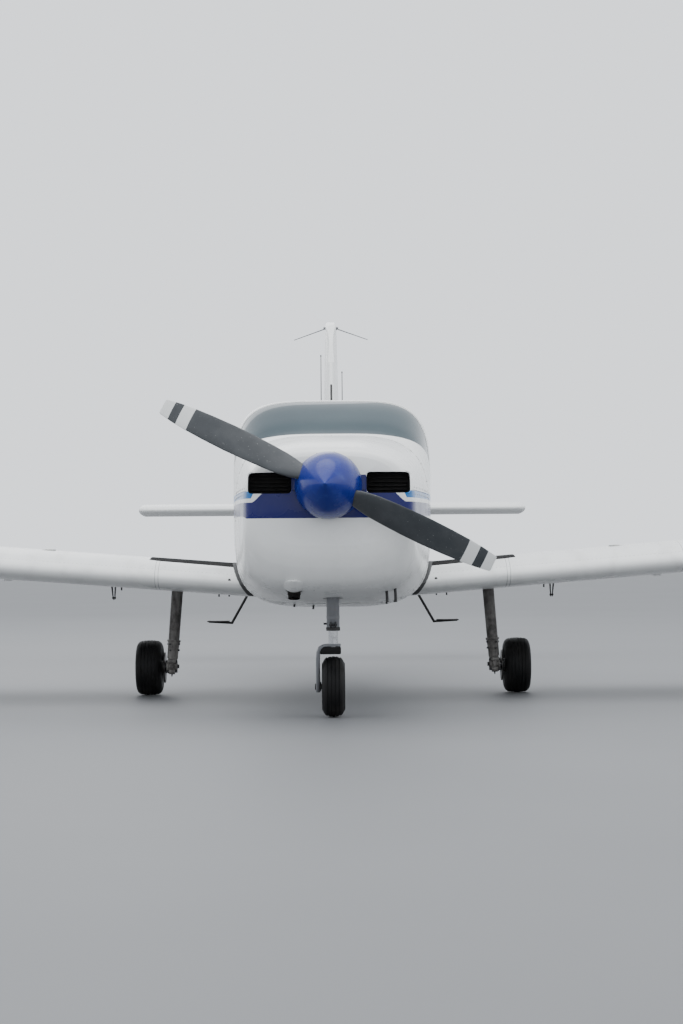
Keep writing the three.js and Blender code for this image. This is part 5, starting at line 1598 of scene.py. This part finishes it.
for x in (-0.05, 0.0, 0.05):
    bezels.append(rod("lever", (x, aft(2.01), z), (x, aft(2.055), z + 0.085), 0.004, sides=12))
    bezels.append(rod("lever knob", (x, aft(2.050), z + 0.075), (x, aft(2.062), z + 0.10), 0.012, 0.010, 20,
                      0.003))
fit(joined("dial_bezels", *bezels), black_rubber, "airframe", "trim")
fit(joined("dials", *faces), dial_face, "airframe", "trim")
fit(joined("needles_and_switches", *pointers), leg_paint, "airframe", "trim")

# Control yokes. On either side a chromed shaft comes out of the panel through a collar, and
# carries a wheel of moulded black plastic with two upright grips.
yoke_at, yoke_height = aft(2.050), 1.25
for side, word in both_sides:
    c = side * 0.245
    shaft = rod("shaft", (c, aft(1.8553), yoke_height), (c, aft(2.04), yoke_height), 0.0115, sides=28)
    collar = spun("collar", [(0, 0.0118), (0, 0.026), (0.006, 0.024), (0.012, 0.0125)],
                  (c, aft(1.8556), yoke_height), (0, 1, 0), 32)
    fit(joined("yoke_shaft_" + word, shaft, collar), chrome, "airframe", "steel")
    half = [(0.107, 1.350), (0.110, 1.32), (0.108, 1.275), (0.085, 1.252)]
    path = [(-x, z) for x, z in half] + [(0, yoke_height)] + half[::-1]
    wheel = tube("yoke_grip_" + word, [(c + x, yoke_at, z) for x, z in path], 0.0125, 16, 6)
    hub = brick("yoke hub", c - 0.04, c + 0.04, 2.0365, 2.0635, 1.2365, 1.2635, 0.005)
    carve(wheel, hub, how="UNION")
    fit(wheel, black_rubber, "airframe", "trim", "yoke_" + word)

# Seats. Foam cushions in a ribbed warm-grey cloth over a sprung steel frame, worn darker at the edges;
# one front seat is made and copied, and the bench is two cushions as wide as the cabin.
cloth, shader = new_material("seat cloth", 0.92, specular=0.25)
at = place(shader)
rib = maths("SINE", split(at)[0] * 900.0)
weave = noise(at, 900.0, 2)
worn = ramp(noise(at, 7.0, 5), 0.42, 0.75)
colour = mixed(worn, (0.2, 0.185, 0.165), (0.115, 0.105, 0.095))
finished(shader, mixed(ramp(rib, -1.0, 1.0) * 0.3, colour, (0.07, 0.065, 0.06)))
raised(shader, rib + weave, 0.35, 0.0012)


def pillow(name, corners, x0, x1, radius):
    """A foam cushion: a rounded block, remeshed and blown up a little as cloth, still without seams."""
    block = side_slab(name, corners, x0, x1, radius)
    soften(block, 0.022, 3)
    modified(block, "REMESH", mode="VOXEL", voxel_size=0.014)
    start = get_vertices(block)
    blow = block.modifiers.new("foam", "CLOTH")
    blow.settings.quality = 4
    blow.settings.mass = 0.3
    blow.settings.use_pressure = True
    blow.settings.uniform_pressure_force = 4.0
    blow.settings.tension_stiffness = blow.settings.compression_stiffness = 25.0
    blow.settings.bending_stiffness = 3.0
    blow.settings.effector_weights.gravity = 0.0
    blow.point_cache.frame_start, blow.point_cache.frame_end = 1, 14
    for step in range(1, 15):
        bpy.context.scene.frame_set(step)
    bpy.context.view_layer.objects.active = block
    bpy.ops.object.modifier_apply(modifier=blow.name)
    bpy.context.scene.frame_set(1)
    moved = get_vertices(block) - start
    far = np.linalg.norm(moved, axis=1, keepdims=True)
    most = 0.010
    moved *= np.minimum(1.0, most / np.maximum(far, 1e-6))
    set_vertices(block, start + moved)
    return block


def sew(piece, seams, depth, width):
    """Makes a cushion's mesh finer and presses its sewn seams in, each at its place across it."""
    modified(piece, "SUBSURF", levels=1, render_levels=1)
    places = get_vertices(piece)
    normals = np.array([v.normal[:] for v in piece.data.vertices])
    drop = np.zeros(len(places))
    for seam in seams:
        drop = np.maximum(drop, np.exp(-((places[:, 0] - seam) / width) ** 2))
    set_vertices(piece, places - normals * (drop * depth)[:, None])


base = pillow("seat base", [(2.222, 0.812), (2.70, 0.812), (2.70, 0.973), (2.222, 0.973)], 0.102, 0.478,
              0.035)
back = pillow("seat back", [(2.655, 0.900), (2.752, 0.900), (2.978, 1.493), (2.903, 1.516)], 0.102, 0.478,
              0.035)
for cushion in (base, back):
    sew(cushion, (0.165, 0.29, 0.415), 0.006, 0.007)
frame_bars = [brick("seat box", 0.142, 0.418, 2.302, 2.698, 0.7058, 0.80, 0.004)]
for x in (0.165, 0.395):
    frame_bars.append(rod("rail", (x, aft(2.225), 0.812), (x, aft(2.72), 0.812), 0.010, sides=16))
    frame_bars.append(rod("post", (x, aft(2.70), 0.812), (x, aft(2.955), 1.47), 0.010, sides=16))
seat_frame = joined("seat frame", *frame_bars)
seat = joined("seat cushions", base, back)
for side, word in both_sides:
    one, bars = twin(seat, "seat_cushion_" + word), twin(seat_frame, "seat_frame_" + word)
    if side < 0:
        for piece in (one, bars):
            set_vertices(piece, get_vertices(piece) * np.array([-1, 1, 1]))
            face_out(piece)
    fit(one, cloth, "airframe", "upholstery", "seat_front_" + word, angle=60)
    fit(bars, black_screw, "airframe", "steel")
bpy.data.objects.remove(seat)
bpy.data.objects.remove(seat_frame)
bench_base = pillow("bench base", [(3.092, 0.812), (3.49, 0.812), (3.49, 0.963), (3.092, 0.963)], -0.468,
                    0.468, 0.035)
bench_back = pillow("bench back", [(3.442, 0.890), (3.522, 0.890), (3.708, 1.424), (3.644, 1.441)], -0.468,
                    0.468, 0.030)
for cushion in (bench_base, bench_back):
    sew(cushion, (0.0, 0.235, -0.235), 0.007, 0.008)
bench = joined("bench_cushions", bench_base, bench_back)
fit(bench, cloth, "airframe", "upholstery", "rear_bench", angle=60)
box = brick("bench_box", -0.398, 0.398, 3.142, 3.478, 0.7058, 0.802, 0.004)
fit(box, panel_black, "airframe", "trim")
belts = []
for side in (1, -1):
    for c, s0, s1, z in ((0.29, 2.30, 2.66, 0.985), (0.235, 3.15, 3.44, 0.975)):
        belts.append(side_slab("belt", [(s0 + 0.16, z + 0.004), (s1, z + 0.004), (s1, z + 0.007),
                                        (s0 + 0.16, z + 0.007)], side * (c - 0.024), side * (c + 0.024)))
        belts.append(brick("buckle", side * c - 0.03, side * c + 0.03, s0 + 0.12, s0 + 0.17, z + 0.003,
                           z + 0.015, 0.003))
fit(joined("lap_belts", *belts), black_screw, "airframe", "trim")

# Camera, floor and lights. They stand for the photographer's place, a grey apron and the soft
# light of an overcast day.
camera_data = bpy.data.cameras.new("camera")
camera_data.lens, camera_data.sensor_width = 74.9, 36.0
camera = bpy.data.objects.new("camera", camera_data)
bpy.context.scene.collection.objects.link(camera)
stand = Matrix.Translation((0.0, aft(-10.66), 0.88))
for degrees, axis in ((-0.25, "Z"), (91.156, "X"), (-0.45, "Z")):
    stand = stand @ Matrix.Rotation(math.radians(degrees), 4, axis)
camera.matrix_world = stand
bpy.context.scene.camera = camera

bpy.ops.mesh.primitive_plane_add(size=160)
floor = new_piece("floor")
floor.data.materials.append(speckled("floor", 0.6, 0.4, (0.150, 0.154, 0.161), (0.178, 0.182, 0.189)))

world = bpy.data.worlds.new("sky")
bpy.context.scene.world = world
world.use_nodes = True
background = world.node_tree.nodes["Background"].inputs
background["Color"].default_value = (0.92, 0.955, 1.0, 1)
background["Strength"].default_value = 1.55
for name, spot, aim, size, power in (
        ("high soft light", (-1, -3, 12), (0, -1, 1), 16, 1300),
        ("side soft light", (11, -4, 6), (0, 0, 1), 8, 160),
        ("back soft light", (-3, 14, 8), (0, 2, 1), 9, 220)):
    light = bpy.data.lights.new(name, "AREA")
    light.shape, light.size, light.energy = "DISK", size, power
    lamp = bpy.data.objects.new(name, light)
    bpy.context.scene.collection.objects.link(lamp)
    lamp.location = spot
    lamp.rotation_euler = (Vector(aim) - Vector(spot)).to_track_quat("-Z", "Y").to_euler()
